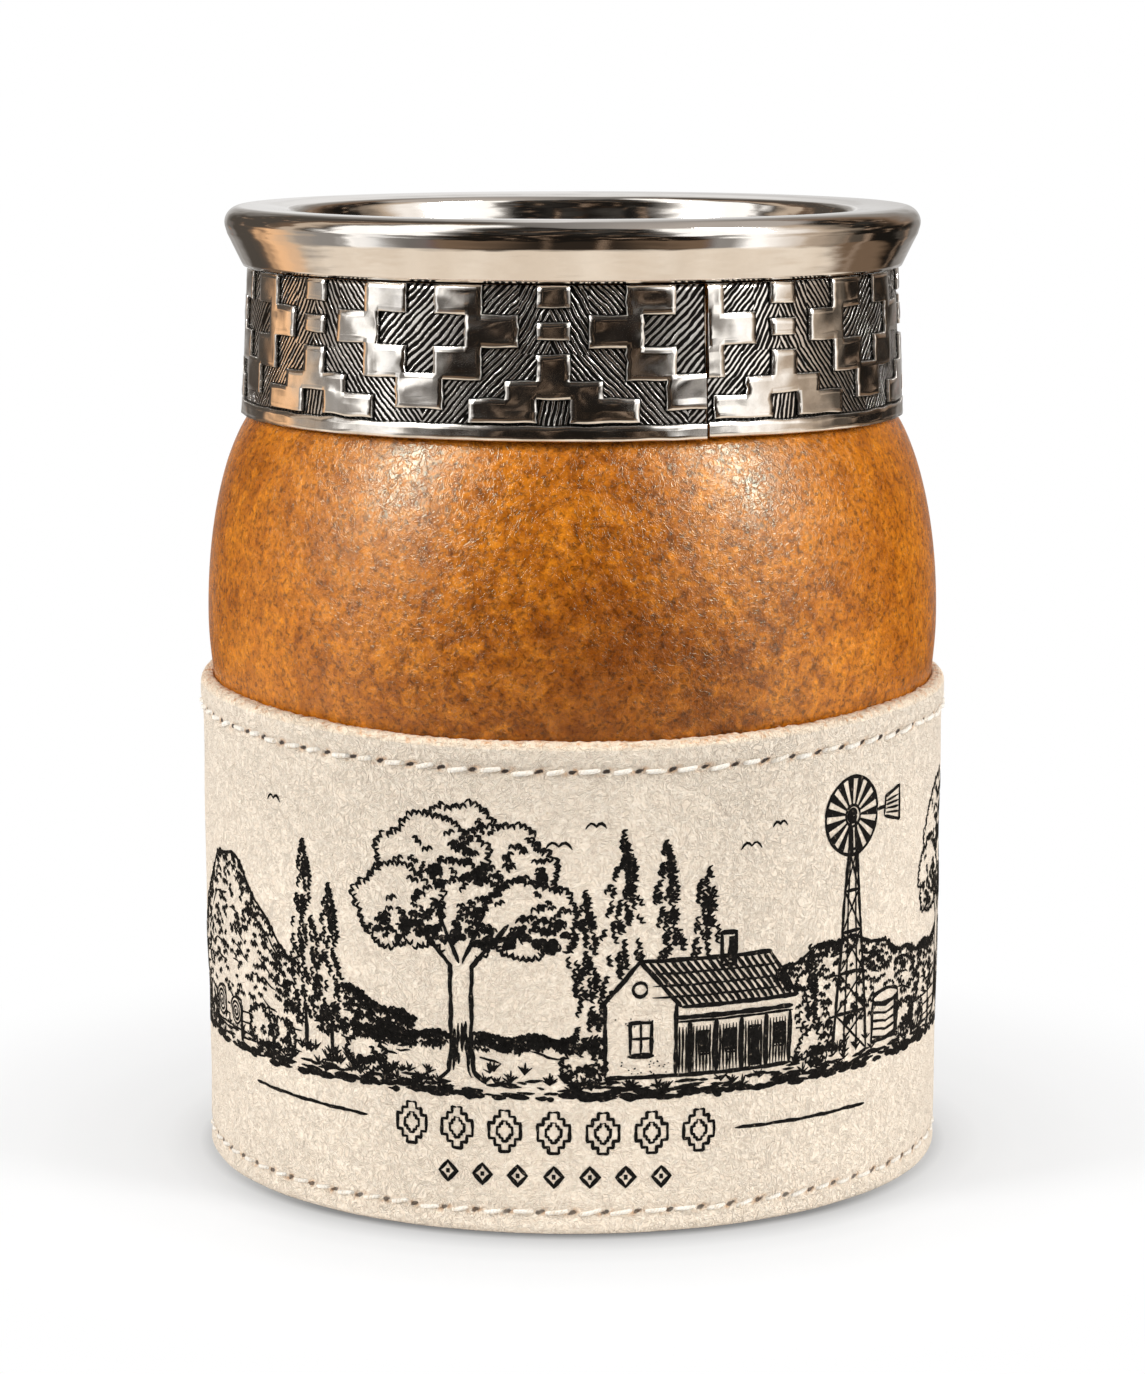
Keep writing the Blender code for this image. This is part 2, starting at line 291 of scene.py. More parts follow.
lacquered, tree, shader = recipe("lacquered_calabash", Specular_IOR_Level=0.75,
                                 Specular_Tint=(0.70, 0.97, 0.84))
place = object_place(tree)
blotches = cloud(place, 2.0, detail=8, rough=0.68, warp=0.5)
colour = ramp(blotches, (0.32, (0.270, 0.072, 0.003)), (0.45, (0.395, 0.114, 0.004)),
              (0.55, (0.475, 0.145, 0.005)), (0.70, (0.580, 0.190, 0.007)))
colour = tinted(colour, ramp(cloud(place, 9.0, detail=5, rough=0.62, warp=0.4), (0.36, (0.76, 0.69, 0.60)),
                             (0.50, (0.98, 0.96, 0.92)), (0.64, (1.10, 1.12, 1.10))))
# One darker stain at the front, with a ragged edge.
from_stain = wire(tree, "VectorMath", "Value", {0: place, 1: (0.004, -0.042, 0.060)}, operation="DISTANCE")
stain = 1.0 - eased_value((blotches - 0.5) * 0.05 + from_stain, 0.006, 0.031)
colour = mixed(stain, colour, tinted(colour, (0.60, 0.54, 0.46)))
flecks = ramp(cloud(place, 0.62, detail=4, rough=0.7, warp=0.6), (0.37, 0.46), (0.48, 0.96), (0.64, 1.28))
gloss = ramp(cloud(place, 2.0, detail=5), (0.35, 0.20), (0.65, 0.28))
feed(shader, {"Base Color": tinted(colour, flecks), "Roughness": gloss})
creases = [ramp(abs(cloud(place, size, detail=2, rough=0.5, warp=1.6) - 0.5), (0.0, 1.0), (0.065, 0.0))
           for size in (1.5, 0.9)]
raise_marks(shader, creases[0] + creases[1] * 0.6 + cloud(place, 3.0, detail=2) * 0.5, 0.020)
gourd.data.materials.append(lacquered)

cured, tree, shader = recipe("cured_inside", Roughness=0.85)
place = object_place(tree)
feed(shader, {"Base Color": ramp(cloud(place, 6.0, detail=6, rough=0.6), (0.3, (0.06, 0.03, 0.012)),
                                 (0.7, (0.19, 0.10, 0.04)))})
raise_marks(shader, cloud(place, 1.6, detail=5), 0.35, 0.8)
gourd.data.materials.append(cured)
outside_rows = FLOOR_ROWS + CORNER_ROWS + len(heights) + NECK_ROWS
inside = np.arange((len(gourd_path) - 1) * GOURD_COLUMNS) // GOURD_COLUMNS >= outside_rows
gourd.data.polygons.foreach_set("material_index", np.concatenate([inside, [0, 1]]).astype(np.int32))
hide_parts("gourd_shell")
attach(gourd, "root")

# The neck bedding. A ring of grey cement poured into the rim, which fixes it to the cut neck.
# The rim and the liner close it in, so only its finish is given here.
cement, tree, shader = recipe("bedding_cement", Roughness=0.95)
place = object_place(tree)
feed(shader, {"Base Color": ramp(cloud(place, 1.2, detail=6), (0.3, (0.42, 0.40, 0.36)),
                                 (0.7, (0.66, 0.64, 0.60)))})
raise_marks(shader, cloud(place, 0.6), 0.1)
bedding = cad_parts["neck_bedding"]
bedding.data.materials.clear()
bedding.data.materials.append(cement)

# The chiselled band. A strip of nickel silver with a stepped weaver's pattern: the steps are
# left standing and burnished, the ground between is sunk, hatched with a graver and blackened.
# The strip is rolled round the neck, and its ends meet at the front, right of the middle.
SHEET, RELIEF, CLEARANCE, BAND_HEIGHT, REPEATS = 0.55, 0.4, 0.3, NECK_TOP - NECK_FOOT, 8
BAND_ROLL = neck_radius(NECK_FOOT + BAND_HEIGHT / 2) + CLEARANCE + SHEET
SEAM_TURN, SEAM_GAP, FIRST = math.radians(22.5), 0.3, 5.35
STRIP = 2 * np.pi * BAND_ROLL - SEAM_GAP
REPEAT = (STRIP + FIRST - 1.7) / REPEATS
HALF = REPEAT / 2
EDGES_ACROSS = (1.7, 2.9, 5.35, 5.9, 7.3, 9.9, 11.35, 13.4)
EDGES_DOWN = (2.4, 3.2, 4.0, 5.9, 6.75, 7.5, 9.7, 10.35, 12.3, 13.6, 14.9, 15.2)
# The standing steps: from and to across, counted from the middle of a cross, and down.
STEPS = ((1.7, 7.3, -1, 3.2), (5.35, 11.35, 3.2, 6.75), (1.7, 7.3, 6.75, 10.35), (5.35, 7.3, -1, 10.35),
         (-1, 2.9, 9.7, 13.6), (13.4, 99, -1, 2.4), (13.4, 99, 4.0, 5.9), (13.4, 99, 7.5, 12.3),
         (9.9, 99, 10.35, 12.3), (5.9, 13.4, 12.3, 14.9), (9.9, 13.4, 10.35, 14.9), (-1, 99, 15.2, 99))


def lines_between(edges, high, widest):
    """Places for grid lines from 0: four close round each edge, and others evenly between."""
    close = np.concatenate([np.asarray(edges) + shift for shift in (-0.07, -0.03, 0.03, 0.07)])
    close = np.unique(np.round(np.concatenate([close[(close > 0) & (close < high)], [0, high]]), 4))
    spans = [np.linspace(start, stop, max(int(np.ceil((stop - start) / widest)), 1), endpoint=False)
             for start, stop in zip(close[:-1], close[1:])]
    return np.concatenate(spans + [[high]])


def from_cross(along):
    """Distance to the middle of the nearest cross, negative to its left, along the strip."""
    return (along + FIRST + HALF) % REPEAT - HALF


def inset(along, down):
    """How far a place lies inside the standing steps, negative on the ground: for each step
    the smallest distance to its four sides, and of those the largest."""
    across = np.abs(from_cross(along))
    depth = -np.inf
    for left, right, top, foot in STEPS:
        depth = np.maximum(depth, np.minimum(np.minimum(across - left, right - across),
                                             np.minimum(down - top, foot - down)))
    return depth


marks = np.concatenate([count * REPEAT - FIRST + sign * np.array(EDGES_ACROSS)
                        for count in range(REPEATS + 1) for sign in (-1, 1)])
along, down = np.meshgrid(lines_between(marks, STRIP, 0.75),
                          lines_between(EDGES_DOWN, BAND_HEIGHT, 0.75)[::-1])
depth = inset(along, down)
turn = SEAM_TURN + (along + SEAM_GAP / 2) / BAND_ROLL
hammered = 0.050 * unevenness(turn, down * 2.2, 26, 48, 11) + 0.004 * unevenness(turn, down * 3, 20, 120, 12)
raised = np.interp(depth, (-0.03, 0.03, 0.07), (0.0, 0.34, RELIEF)) + hammered * np.clip(depth / 0.2, 0, 1)
# The chisel wanders from its lines by less than a tenth of a millimetre, but the strip's own
# edges stay straight.
free = (np.clip(np.minimum(along, STRIP - along) / 0.5, 0, 1)
        * np.clip(np.minimum(down, BAND_HEIGHT - down) / 0.5, 0, 1))
cut_along = along + 0.07 * free * unevenness(turn, down * 4, 16, 70, 21)
cut_down = down + 0.06 * free * unevenness(turn, down * 2, 16, 60, 22)
# The end right of the seam sits a fifth of a millimetre high at its foot.
lifted = 0.22 * np.clip(1 - along / 22.0, 0, 1) * np.clip(down / BAND_HEIGHT, 0, 1)
height = NECK_FOOT + BAND_HEIGHT - cut_down + lifted
cut_turn = SEAM_TURN + (cut_along + SEAM_GAP / 2) / BAND_ROLL
front = turned_points(cut_turn, neck_radius(height) + CLEARANCE + SHEET + raised, height)
back = turned_points(cut_turn, neck_radius(height) + CLEARANCE, height)
lay = np.stack([along, down], -1) * 0.001
band = grid_piece("chiselled_neck_band", np.concatenate([front, back[-1:], back[:1]]),
                  uv=np.concatenate([lay, lay[-1:], lay[:1]]), loop=True, caps=("sides",))


def keep_values(piece, name, values):
    """Store one number for each vertex under a name that the material reads."""
    made = piece.data.attributes.new(name, "FLOAT", "POINT")
    made.data.foreach_set("value", values.astype(np.float32).ravel())


kept_inset = np.concatenate([depth, np.full((2, depth.shape[1]), 0.3)])
keep_values(band, "inset", np.clip(kept_inset, -1, 1))
middle_along, middle_down = (along[:-1, :-1] + along[1:, 1:]) / 2, (down[:-1, :-1] + down[1:, 1:]) / 2
# The bevels round the steps are flat, so that the steps and the ground keep their own sheen.
bevels = np.abs(inset(middle_along, middle_down) - 0.02) < 0.05
smooth = np.ones(len(band.data.polygons), bool)
smooth[:bevels.size] = ~bevels.ravel()
band.data.polygons.foreach_set("use_smooth", smooth)


def graver_lay(row_shift, column_shift):
    """The graver's strokes as a plane of their own, at one corner of every cell: the first
    number counts strokes, the second runs along them. Each field has its slant and spacing."""
    rows, columns = middle_along.shape
    corner = (slice(row_shift, rows + row_shift), slice(column_shift, columns + column_shift))
    side, across = np.sign(from_cross(middle_along)), np.abs(from_cross(middle_along))
    in_cross = (across < 5.35) & (middle_down < 9.7)
    near_stud = (across > 11.35) & (middle_down < 7.5)
    notch = (across > 12.9) & (middle_down > 12.0)
    fields = [in_cross, near_stud, notch]
    angle = np.radians(np.select(fields, [45.0 + 0 * side, 60 * side, 80 + 0 * side], 48 * side))
    spacing = np.select(fields, [0.66, 0.60, 0.58], 0.55)
    count = (cut_along[corner] * np.sin(angle) + cut_down[corner] * np.cos(angle)) / spacing
    run = (-cut_along[corner] * np.cos(angle) + cut_down[corner] * np.sin(angle)) / spacing
    return np.stack([count, run], -1)


quads = np.stack([graver_lay(0, 0), graver_lay(0, 1), graver_lay(1, 1), graver_lay(1, 0)], axis=2)
strokes = np.zeros((len(band.data.loops), 2), np.float32)
strokes[:quads.size // 2] = quads.reshape(-1, 2)
band.data.uv_layers.new(name="graver").data.foreach_set("uv", strokes.ravel())

burnished, tree, shader = recipe("chiselled_nickel_silver", Metallic=1.0)
place = object_place(tree)
graver = wire(tree, "UVMap", "UV", uv_map="graver")
depth = wire(tree, "Attribute", "Fac", attribute_name="inset")
standing = ramp(depth * 4.0 + 0.5, (0.42, 0.0), (0.58, 1.0))
rim_light = ramp(depth * 2.0 + 0.5, (0.47, 0.0), (0.52, 1.0), (0.60, 1.0), (0.67, 0.0))
# foot is the ground along the foot of each step; it is painted near-black there, without graver lines, as a
# painted shadow of the step.
foot = ramp(depth * 2.0 + 0.5, (0.10, 0.0), (0.38, 1.0), (0.48, 1.0), (0.52, 0.0))
wander = (cloud(place, 4.0, detail=3, rough=0.6) - 0.5) * 1.5
wave = ((axis(graver, "X") + wander) * (2 * math.pi)).by("SINE")
pressed = wire(tree, "TexNoise", "Fac", {"Vector": stretched(graver, (0.9, 0.13, 1.0)), "Scale": 1.0,
                                         "Detail": 2.0})
bright_line = ramp((wave + (pressed - 0.5) * 3.4) * 0.5 + 0.5, (0.60, 0.0), (0.78, 1.0))
ground = mixed(foot, mixed(bright_line, (0.010, 0.009, 0.008), (0.97, 0.94, 0.90)), (0.006, 0.006, 0.005))
tarnish = ramp(cloud(place, 4.5, detail=5, rough=0.6), (0.30, (0.68, 0.64, 0.59)), (0.58, (0.96, 0.93, 0.89)))
steps_colour = mixed(rim_light, tarnish, (0.95, 0.92, 0.88))
polish = ramp(cloud(place, 3.0, detail=5, rough=0.6), (0.30, 0.08), (0.70, 0.18))
polish = mixed(rim_light, polish, (0.30, 0.30, 0.30))
dull = mixed(bright_line, (0.60, 0.60, 0.60), (0.23, 0.23, 0.23))
feed(shader, {"Base Color": mixed(standing, ground, steps_colour),
              "Roughness": mixed(standing, dull, polish)})
dents = cloud(place, 5.0, detail=1) * 2.2 + cloud(place, 1.6, detail=1) * 0.10
raise_marks(shader, mixed(standing, bright_line * 0.9, dents), 0.09, 0.8)
band.data.materials.append(burnished)
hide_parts("chiselled_band")
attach(band, "root")

# The rim. One sheet of nickel silver spun over a form: a lip that falls to the mouth, a round
# bead and a cone that ends above the band. It is polished bright, and slightly wavy from
# the spinning.
RIM_SHEET = 0.8
lip_share = np.linspace(0.05, 0.90, 12)
rim_outside = join_path(
    (np.linspace(38.6, 40.42, 10), np.linspace(105.2, 108.88, 10)), ([40.46], [109.02]),
    (np.linspace(40.49, 40.58, 3), np.linspace(109.14, 109.46, 3)), arc((38.8, 110.15), 1.9, -17, 90, 26),
    (np.linspace(38.4, 34.2, 12), 111.65 + 0.4 * (1 - lip_share ** 3)),
    arc((33.92, 110.61), 1.107, 90, 165, 10), (np.linspace(32.83, 31.95, 8), np.linspace(110.6, 107.3, 8)))


def other_side(path, sheet):
    """The path's other face: each point moved to the left of the way, and run backwards."""
    way = np.gradient(path, axis=0)
    way = way / np.linalg.norm(way, axis=1, keepdims=True)
    return (path + sheet * np.stack([-way[:, 1], way[:, 0]], -1))[::-1]


def spinning(turn, height):
    """Waves of a few hundredths of a millimetre round the rim."""
    return 0.020 * unevenness(turn, height * 4, 12, 14, 31)


rim_path = np.concatenate([rim_outside, other_side(rim_outside, RIM_SHEET)])
rim = turned_piece("spun_rim", rim_path, columns=320, sway=spinning, loop=True)


def effect(name, inputs, outputs):
    """New node group for an effect that several finishes share: returns the group, wires from
    its inputs and the node that takes its outputs."""
    made = bpy.data.node_groups.new(name, "ShaderNodeTree")
    for way, sockets in (("INPUT", inputs), ("OUTPUT", outputs)):
        for title, kind in sockets.items():
            made.interface.new_socket(title, in_out=way, socket_type="NodeSocket" + kind)
    given = made.nodes.new("NodeGroupInput")
    return made, [Wire(given.outputs[title]) for title in inputs], made.nodes.new("NodeGroupOutput")


# Polishing marks: slow dents of the sheet, fine rub lines that run round it, and a haze.
polishing, (place, dents), result = effect("polishing_marks", {"Place": "Vector", "Dents": "Float"},
                                           {"Height": "Float", "Haze": "Float"})
slow = cloud(stretched(place, (1.0, 1.0, 5.0)), 11.0, detail=2)
rubs = cloud(stretched(place, (1.0, 1.0, 14.0)), 2.2, detail=6, rough=0.7)
feed(result, {"Height": slow * dents + rubs * 0.05, "Haze": cloud(place, 6.0, detail=6, rough=0.7)})


def polished_metal(name, colour, dents, smooth, hazy):
    """Bright nickel silver with the polishing marks."""
    made, tree, shader = recipe(name, Metallic=1.0)
    marks = node(tree, "Group", {"Place": object_place(tree), "Dents": dents}, node_tree=polishing)
    haze = Wire(marks.outputs["Haze"])
    feed(shader, {"Base Color": ramp(haze, (0.3, tuple(0.93 * part for part in colour)), (0.7, colour)),
                  "Roughness": ramp(haze, (0.35, smooth), (0.70, hazy))})
    raise_marks(shader, Wire(marks.outputs["Height"]), 0.12, 0.6)
    return made


rim.data.materials.append(polished_metal("polished_nickel_silver", (0.84, 0.81, 0.775), 1.5, 0.03, 0.09))
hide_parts("rim_collar")
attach(rim, "root")

# The mouth liner. A tube of the same sheet, soldered under the lip, that lines the bored neck.
# Its foot is drawn in a little.
liner_path = join_path(
    (np.linspace(32.1, 32.6, 6), np.linspace(95.0, 99.4, 6)), (32.6, np.linspace(100, 107.0, 7)),
    (31.9, np.linspace(107.0, 100.0, 7)), (np.linspace(31.9, 31.4, 6), np.linspace(99.4, 95.0, 6)))
liner = turned_piece("mouth_lining_tube", liner_path, columns=256, loop=True, sway=spinning)
liner.data.materials.append(polished_metal("lining_nickel_silver", (0.80, 0.77, 0.73), 1.2, 0.10, 0.22))
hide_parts("mouth_liner")
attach(liner, "root")

# The leather sleeve. A strip of pale vegetable-tanned leather, 1.8 mm thick, drawn wet round
# the lower half of the gourd and butted at the back. Its cut top edge stands a little proud
# above a row of stitches and waves with the hide.
LEATHER, SLEEVE_TOP, UPPER_ROW, LOWER_ROW, STITCHES = 1.8, 56.4, 53.1, 2.6, 75
SLEEVE_ROLL, TOP_ROUND = 43.9, 0.78
BUTT = 0.45 / SLEEVE_ROLL


def eased(value, low, high):
    """0 below low, 1 above high, and an S curve between."""
    share = np.clip((value - low) / (high - low), 0, 1)
    return share * share * (3 - 2 * share)


def near_rows(up, reach):
    """Bell curves of that reach round the upper and the lower row of stitches."""
    return [np.exp(-((up - row) / reach) ** 2) for row in (UPPER_ROW, LOWER_ROW)]


def sleeve_radius(up):
    """Outer radius at a height on the flat strip: nearly straight, with a dent along each row
    of stitches and the edges beyond them turned out."""
    radius = 43.6 + 0.33 * eased(up, 8, 32) + 0.36 * eased(up, 51.2, 54.6) + 0.10 * eased(-up, -1.9, -0.9)
    upper, lower = near_rows(up, 0.8)
    return radius - 0.20 * upper - 0.18 * lower


def sleeve_height(turn, up):
    """Height above the table: the strip's upper part dips at front and back, because the hide
    was cut straight and the gourd isn't round."""
    return up - 0.9 * np.cos(2 * turn) * (up / SLEEVE_TOP) ** 4


def hide_ripple(turn, up):
    """The hide's slow unevenness, a twentieth of a millimetre, and more along its top edge."""
    edge = eased(up, 50, 56) * unevenness(turn, 0 * up, 12, 16, 52)
    return 0.05 * unevenness(turn, up, 18, 26, 51) + 0.10 * edge


def on_sleeve(turn, up, lift=0.0):
    """Points on the sleeve's face, or lifted off it, from the turn and the flat height."""
    radius = sleeve_radius(up) + hide_ripple(turn, up) + lift
    return turned_points(turn, radius, sleeve_height(turn, up))


# The section runs up the face, over the rounded and frayed cut top, down inside and under the foot.
turn = np.linspace(-np.pi + BUTT / 2, np.pi - BUTT / 2, STITCHES * 10 + 1)[None, :]
face_up = np.concatenate([[0.02, 0.12, 0.3, 0.55, 0.85, 1.15], np.linspace(1.5, 4.2, 10),
                          np.linspace(5.0, 50.0, 34), np.linspace(50.8, 55.2, 20), [55.5]])[:, None]
inner_up = np.linspace(55.6, 0.4, 10)[:, None]
upper, lower = near_rows(face_up, 0.9)
pucker = (0.10 * upper + 0.10 * lower) * np.cos(STITCHES * turn)
tucked = 0.95 * (1 - np.sqrt(np.clip(1 - np.clip(1 - face_up / 1.0, 0, 1) ** 2, 0, 1)))
face_r = sleeve_radius(face_up) - pucker + hide_ripple(turn, face_up) - tucked
fray = 0.045 * unevenness(turn, 0, 60, 370, 53) + 0.10 * unevenness(turn, 0, 12, 12, 54)
edge_r = face_r[-1:]
over = np.radians(np.linspace(0, 90, 4))[:, None]
flat_r = edge_r - np.array([0.95, 1.18, 1.4])[:, None]
flat_up = SLEEVE_TOP + fray * 1.3 + 0.05 * unevenness(turn, np.array([9.0, 50.0, 90.0])[:, None], 20, 180, 55)
inner_edge_r = np.maximum(edge_r - LEATHER, gourd_radius(sleeve_height(turn, 56.0)) + 0.04)
inside_r = np.maximum(sleeve_radius(inner_up) - LEATHER, gourd_radius(np.maximum(inner_up, 16.0)) + 0.05)
section = (
    (face_r, face_up),
    (edge_r - TOP_ROUND + TOP_ROUND * np.cos(over), 55.62 + TOP_ROUND * np.sin(over) + fray),
    (flat_r, flat_up), (inner_edge_r, 56.15 + fray), (inside_r + 0 * turn, inner_up),
    (face_r[:1] - LEATHER + 0.6, 0.02), (face_r[:1] - 0.3, 0.0))
sleeve_r = np.concatenate([radius for radius, up in section])
sleeve_up = np.concatenate([np.broadcast_arrays(radius, up)[1] for radius, up in section])
lay = np.stack([turn / (2 * np.pi) * STITCHES + 0 * sleeve_up, sleeve_up * 0.1], -1)
sleeve = grid_piece("sleeve_of_pale_leather", turned_points(turn, sleeve_r, sleeve_height(turn, sleeve_up)),
                    uv=lay, loop=True, caps=("sides",))
# How far each row of points belongs to the raw cut edge.
cut_shares = (0.45, 0.68, 0.7, 0.75, 0.8, 0.9, 1.0, 1.0)
cut_rows = np.zeros(len(sleeve_up))
cut_rows[len(face_up):len(face_up) + len(cut_shares)] = cut_shares
keep_values(sleeve, "cut", np.repeat(cut_rows[:, None], turn.size, 1))

# Hide: fine crossing fibres and pores, as a shade round 0.5 and as a height.
# The shade is raised along the cords: a painted highlight on their ridges.
hide, (place, size), result = effect("hide_fibres", {"Place": "Vector", "Size": "Float"},
                                     {"Shade": "Float", "Height": "Float", "Specks": "Float"})
place = stretched(place, size)
aside = wire(hide, "VectorMath", 0, {0: place, 1: (0.31, 0.17, 0.23)}, operation="ADD")
cords = [ramp(abs(curls - 0.5), (0.0, 1.0), (0.085, 0.0))
         for curls in (cloud(place, 1.45, detail=1.5, rough=0.5, warp=1.8),
                       cloud(aside, 1.0, detail=1.5, rough=0.5, warp=2.0))]
fine = cloud(place, 0.40, detail=3, rough=0.6)
soft = cloud(place, 1.6, detail=6, rough=0.7)
raised = cords[0].by("MAXIMUM", cords[1] * 0.8)
feed(result, {"Height": raised + fine * 0.6, "Shade": raised * 0.09 + (soft * 0.2 + fine * 0.8 - 0.035),
              "Specks": ramp(cloud(place, 0.5, detail=2), (0.68, 0.0), (0.74, 1.0))})

# Punched slits of one row: torn holes between the stitches, from the strip's own lay.
# The mesh has no holes, so the dark in the slits is painted shade.
PITCH = 3.7
punched, (lay, row), result = effect("punched_slits", {"Lay": "Vector", "Row": "Float"},
                                     {"Slit": "Float", "Near": "Float"})
across = ((axis(lay, "X") + 0.5).by("FRACT") - 0.5) * PITCH
leaned = axis(lay, "Y") * 10.0 - row - across * 0.25


def oval_share(wide, high):
    """Distance from a slit's middle, as a share of an oval's edge."""
    return ((across / wide) ** 2.0 + (leaned / high) ** 2.0).by("SQRT")


torn = wire(punched, "TexNoise", "Fac", {"Vector": stretched(lay, (PITCH, 10.0, 1.0)), "Scale": 1.9,
                                         "Detail": 2.0})
feed(result, {"Slit": ramp(oval_share(0.58, 0.29) + (torn - 0.5) * 1.3, (0.62, 1.0), (1.0, 0.0)),
              "Near": ramp(oval_share(1.4, 0.62), (0.40, 1.0), (1.0, 0.0))})


def hide_marks(tree, size=1.0):
    """The hide's shade, height and specks, read at the piece's own place."""
    made = node(tree, "Group", {"Place": object_place(tree), "Size": size}, node_tree=hide)
    return [Wire(made.outputs[title]) for title in ("Shade", "Height", "Specks")]


pale, tree, shader = recipe("pale_leather", Roughness=0.78, Sheen_Weight=0.12, Specular_IOR_Level=0.3)
shade, fibres, specks = hide_marks(tree)
place = object_place(tree)
height = axis(place, "Z")
colour = ramp(shade, (0.36, (0.700, 0.583, 0.462)), (0.50, (0.763, 0.654, 0.526)),
              (0.62, (0.804, 0.707, 0.585)))
# The hide is a little darker in patches, its own tone. Darker higher up and most under the
# top edge is painted shade: less light bounces up there from the table.
patches_and_painted_shade = ramp(cloud(place, 22.0, detail=4), (0.3, 0.96), (0.7, 1.03)) * (height * -0.3 + 0.985)
colour = tinted(colour, patches_and_painted_shade * (eased_value(height, 0.036, 0.054) * -0.055 + 1.0))
colour = mixed(specks * 0.45, colour, (0.42, 0.30, 0.19))
lay = wire(tree, "UVMap", "UV", uv_map="lay")
upper, lower = [node(tree, "Group", {"Lay": lay, "Row": row}, node_tree=punched).outputs
                for row in (UPPER_ROW, LOWER_ROW)]
slit = Wire(upper["Slit"]).by("MAXIMUM", Wire(lower["Slit"]) * 0.85)
near = Wire(upper["Near"]).by("MAXIMUM", Wire(lower["Near"]))
tan_flecks = ramp(cloud(place, 0.7, detail=4), (0.42, 0.0), (0.60, 1.0))
colour = mixed(near * (tan_flecks * 0.75), colour, (0.50, 0.27, 0.12))
# The slits are painted near-black: painted shade in holes that the mesh doesn't cut.
colour = mixed(slit, colour, (0.035, 0.022, 0.014))
cut_edge = wire(tree, "Attribute", "Fac", attribute_name="cut")
raw = ramp(cloud(place, 0.8, detail=5, rough=0.7) + (0.72 - cut_edge) * 0.36, (0.35, (0.62, 0.33, 0.16)),
           (0.43, (0.74, 0.53, 0.36)), (0.52, (0.82, 0.68, 0.52)))
feed(shader, {"Base Color": mixed(eased_value(cut_edge, 0.1, 0.7), colour, raw)})
raise_marks(shader, fibres - slit * 1.5, 0.125)
sleeve.data.materials.append(pale)
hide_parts("leather_sleeve")
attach(sleeve, "root")

# The print. Black ink pressed into the leather before it was sewn: open country with a
# farmhouse, trees and hills, and under its front a row of stepped lozenges between two rules.
# Every line is a ribbon of ink that lies on the leather, in millimetres along the strip and up.
inked, covers = [], []
hand = np.random.default_rng(17)


def spots(along, up):
    """Places on the flat strip, from how far along it and how far up."""
    return np.stack(np.broadcast_arrays(along, up), -1)


def covered(places):
    """Which places lie under something drawn nearer: inside an oval, or a box with power 8."""
    hidden = np.zeros(places.shape[:-1], bool)
    for along, up, wide, high, power in covers:
        hidden |= (np.abs((places[..., 0] - along) / wide) ** power
                   + np.abs((places[..., 1] - up) / high) ** power) < 1
    return hidden


def pen(strokes, width, shake=0.06, over=False, blunt=0.35):
    """Ink strokes of equal point count. The hand shakes by three slow waves along the stroke,
    the width swells and thins with them and tapers at both ends. Strokes stop where something
    nearer was drawn, unless they go over it."""
    strokes = strokes.reshape(-1, *strokes.shape[-2:])
    step = np.linalg.norm(np.diff(strokes, axis=1), axis=2)
    run = np.concatenate([np.zeros((len(strokes), 1)), np.cumsum(step, axis=1)], axis=1)
    phase = hand.uniform(0, 2 * np.pi, (3, 3, len(strokes), 1))
    waves = sum(np.sin(run * pitch + phase[i]) / (i + 1.5) for i, pitch in enumerate((1.3, 2.9, 5.3)))
    shaken = strokes + shake * np.stack([waves[0], waves[1]], -1)
    ends = np.minimum(run, run[:, -1:] - run) / 0.7
    widths = 1.34 * width * (blunt + (1 - blunt) * np.sqrt(np.clip(ends, 0, 1))) * (1 + 0.22 * waves[2])
    hidden = covered(shaken)
    if over or not hidden.any():
        inked.append((shaken, widths))
    elif len(strokes) > 1:
        clear = ~hidden[:, hidden.shape[1] // 2]
        inked.append((shaken[clear], widths[clear]))
    else:
        for part in np.split(np.arange(hidden.size), np.flatnonzero(np.diff(hidden[0])) + 1):
            if len(part) > 2 and not hidden[0, part[0]]:
                inked.append((shaken[:, part], widths[:, part]))


def line(*corners, place=(0, 0)):
    """One stroke through corners measured from a place, with points at even steps and at
    every corner."""
    corners = np.asarray(corners, float) + place
    run = np.concatenate([[0], np.cumsum(np.linalg.norm(np.diff(corners, axis=0), axis=1))])
    at = np.unique(np.round(np.concatenate([np.linspace(0, run[-1], int(run[-1] / 0.5) + 2), run]), 4))
    return spots(np.interp(at, run, corners[:, 0]), np.interp(at, run, corners[:, 1]))


def ruled(place, *strokes, shake=0.03, **touch):
    """Straight-sided strokes, each a width and its corners, measured from a place."""
    for width, *corners in strokes:
        pen(line(*corners, place=place), width, shake, **touch)


def filled(place, *strokes):
    """Even strokes as broad as the dark shapes that they fill."""
    ruled(place, *strokes, shake=0.0, blunt=1.0)


def boxed(place, wide, high, width):
    """The outline of an upright box on its middle foot."""
    half = wide / 2
    ruled(place, (width, (-half, 0), (-half, high), (half, high), (half, 0), (-half, 0)))


def oval(along, up, wide, high, count):
    """A closed oval of that many points."""
    around = np.linspace(0, 2 * np.pi, count)
    return spots(along + wide * np.cos(around), up + high * np.sin(around))


def clumps(places, size, slant, width=0.27, bows=2):
    """Leaf clumps: short runs of bows, |sin| over their length, each turned by its slant."""
    share = np.linspace(0, 1, 4 * bows + 1)[None, :]
    size, slant = (np.broadcast_to(value, len(places))[:, None] for value in (size, slant))
    x, y = (share - 0.5) * size, np.abs(np.sin(np.pi * bows * share)) * 0.36 * size
    pen(spots(places[:, :1] + x * np.cos(slant) - y * np.sin(slant),
              places[:, 1:] + x * np.sin(slant) + y * np.cos(slant)), width, shake=0.05)


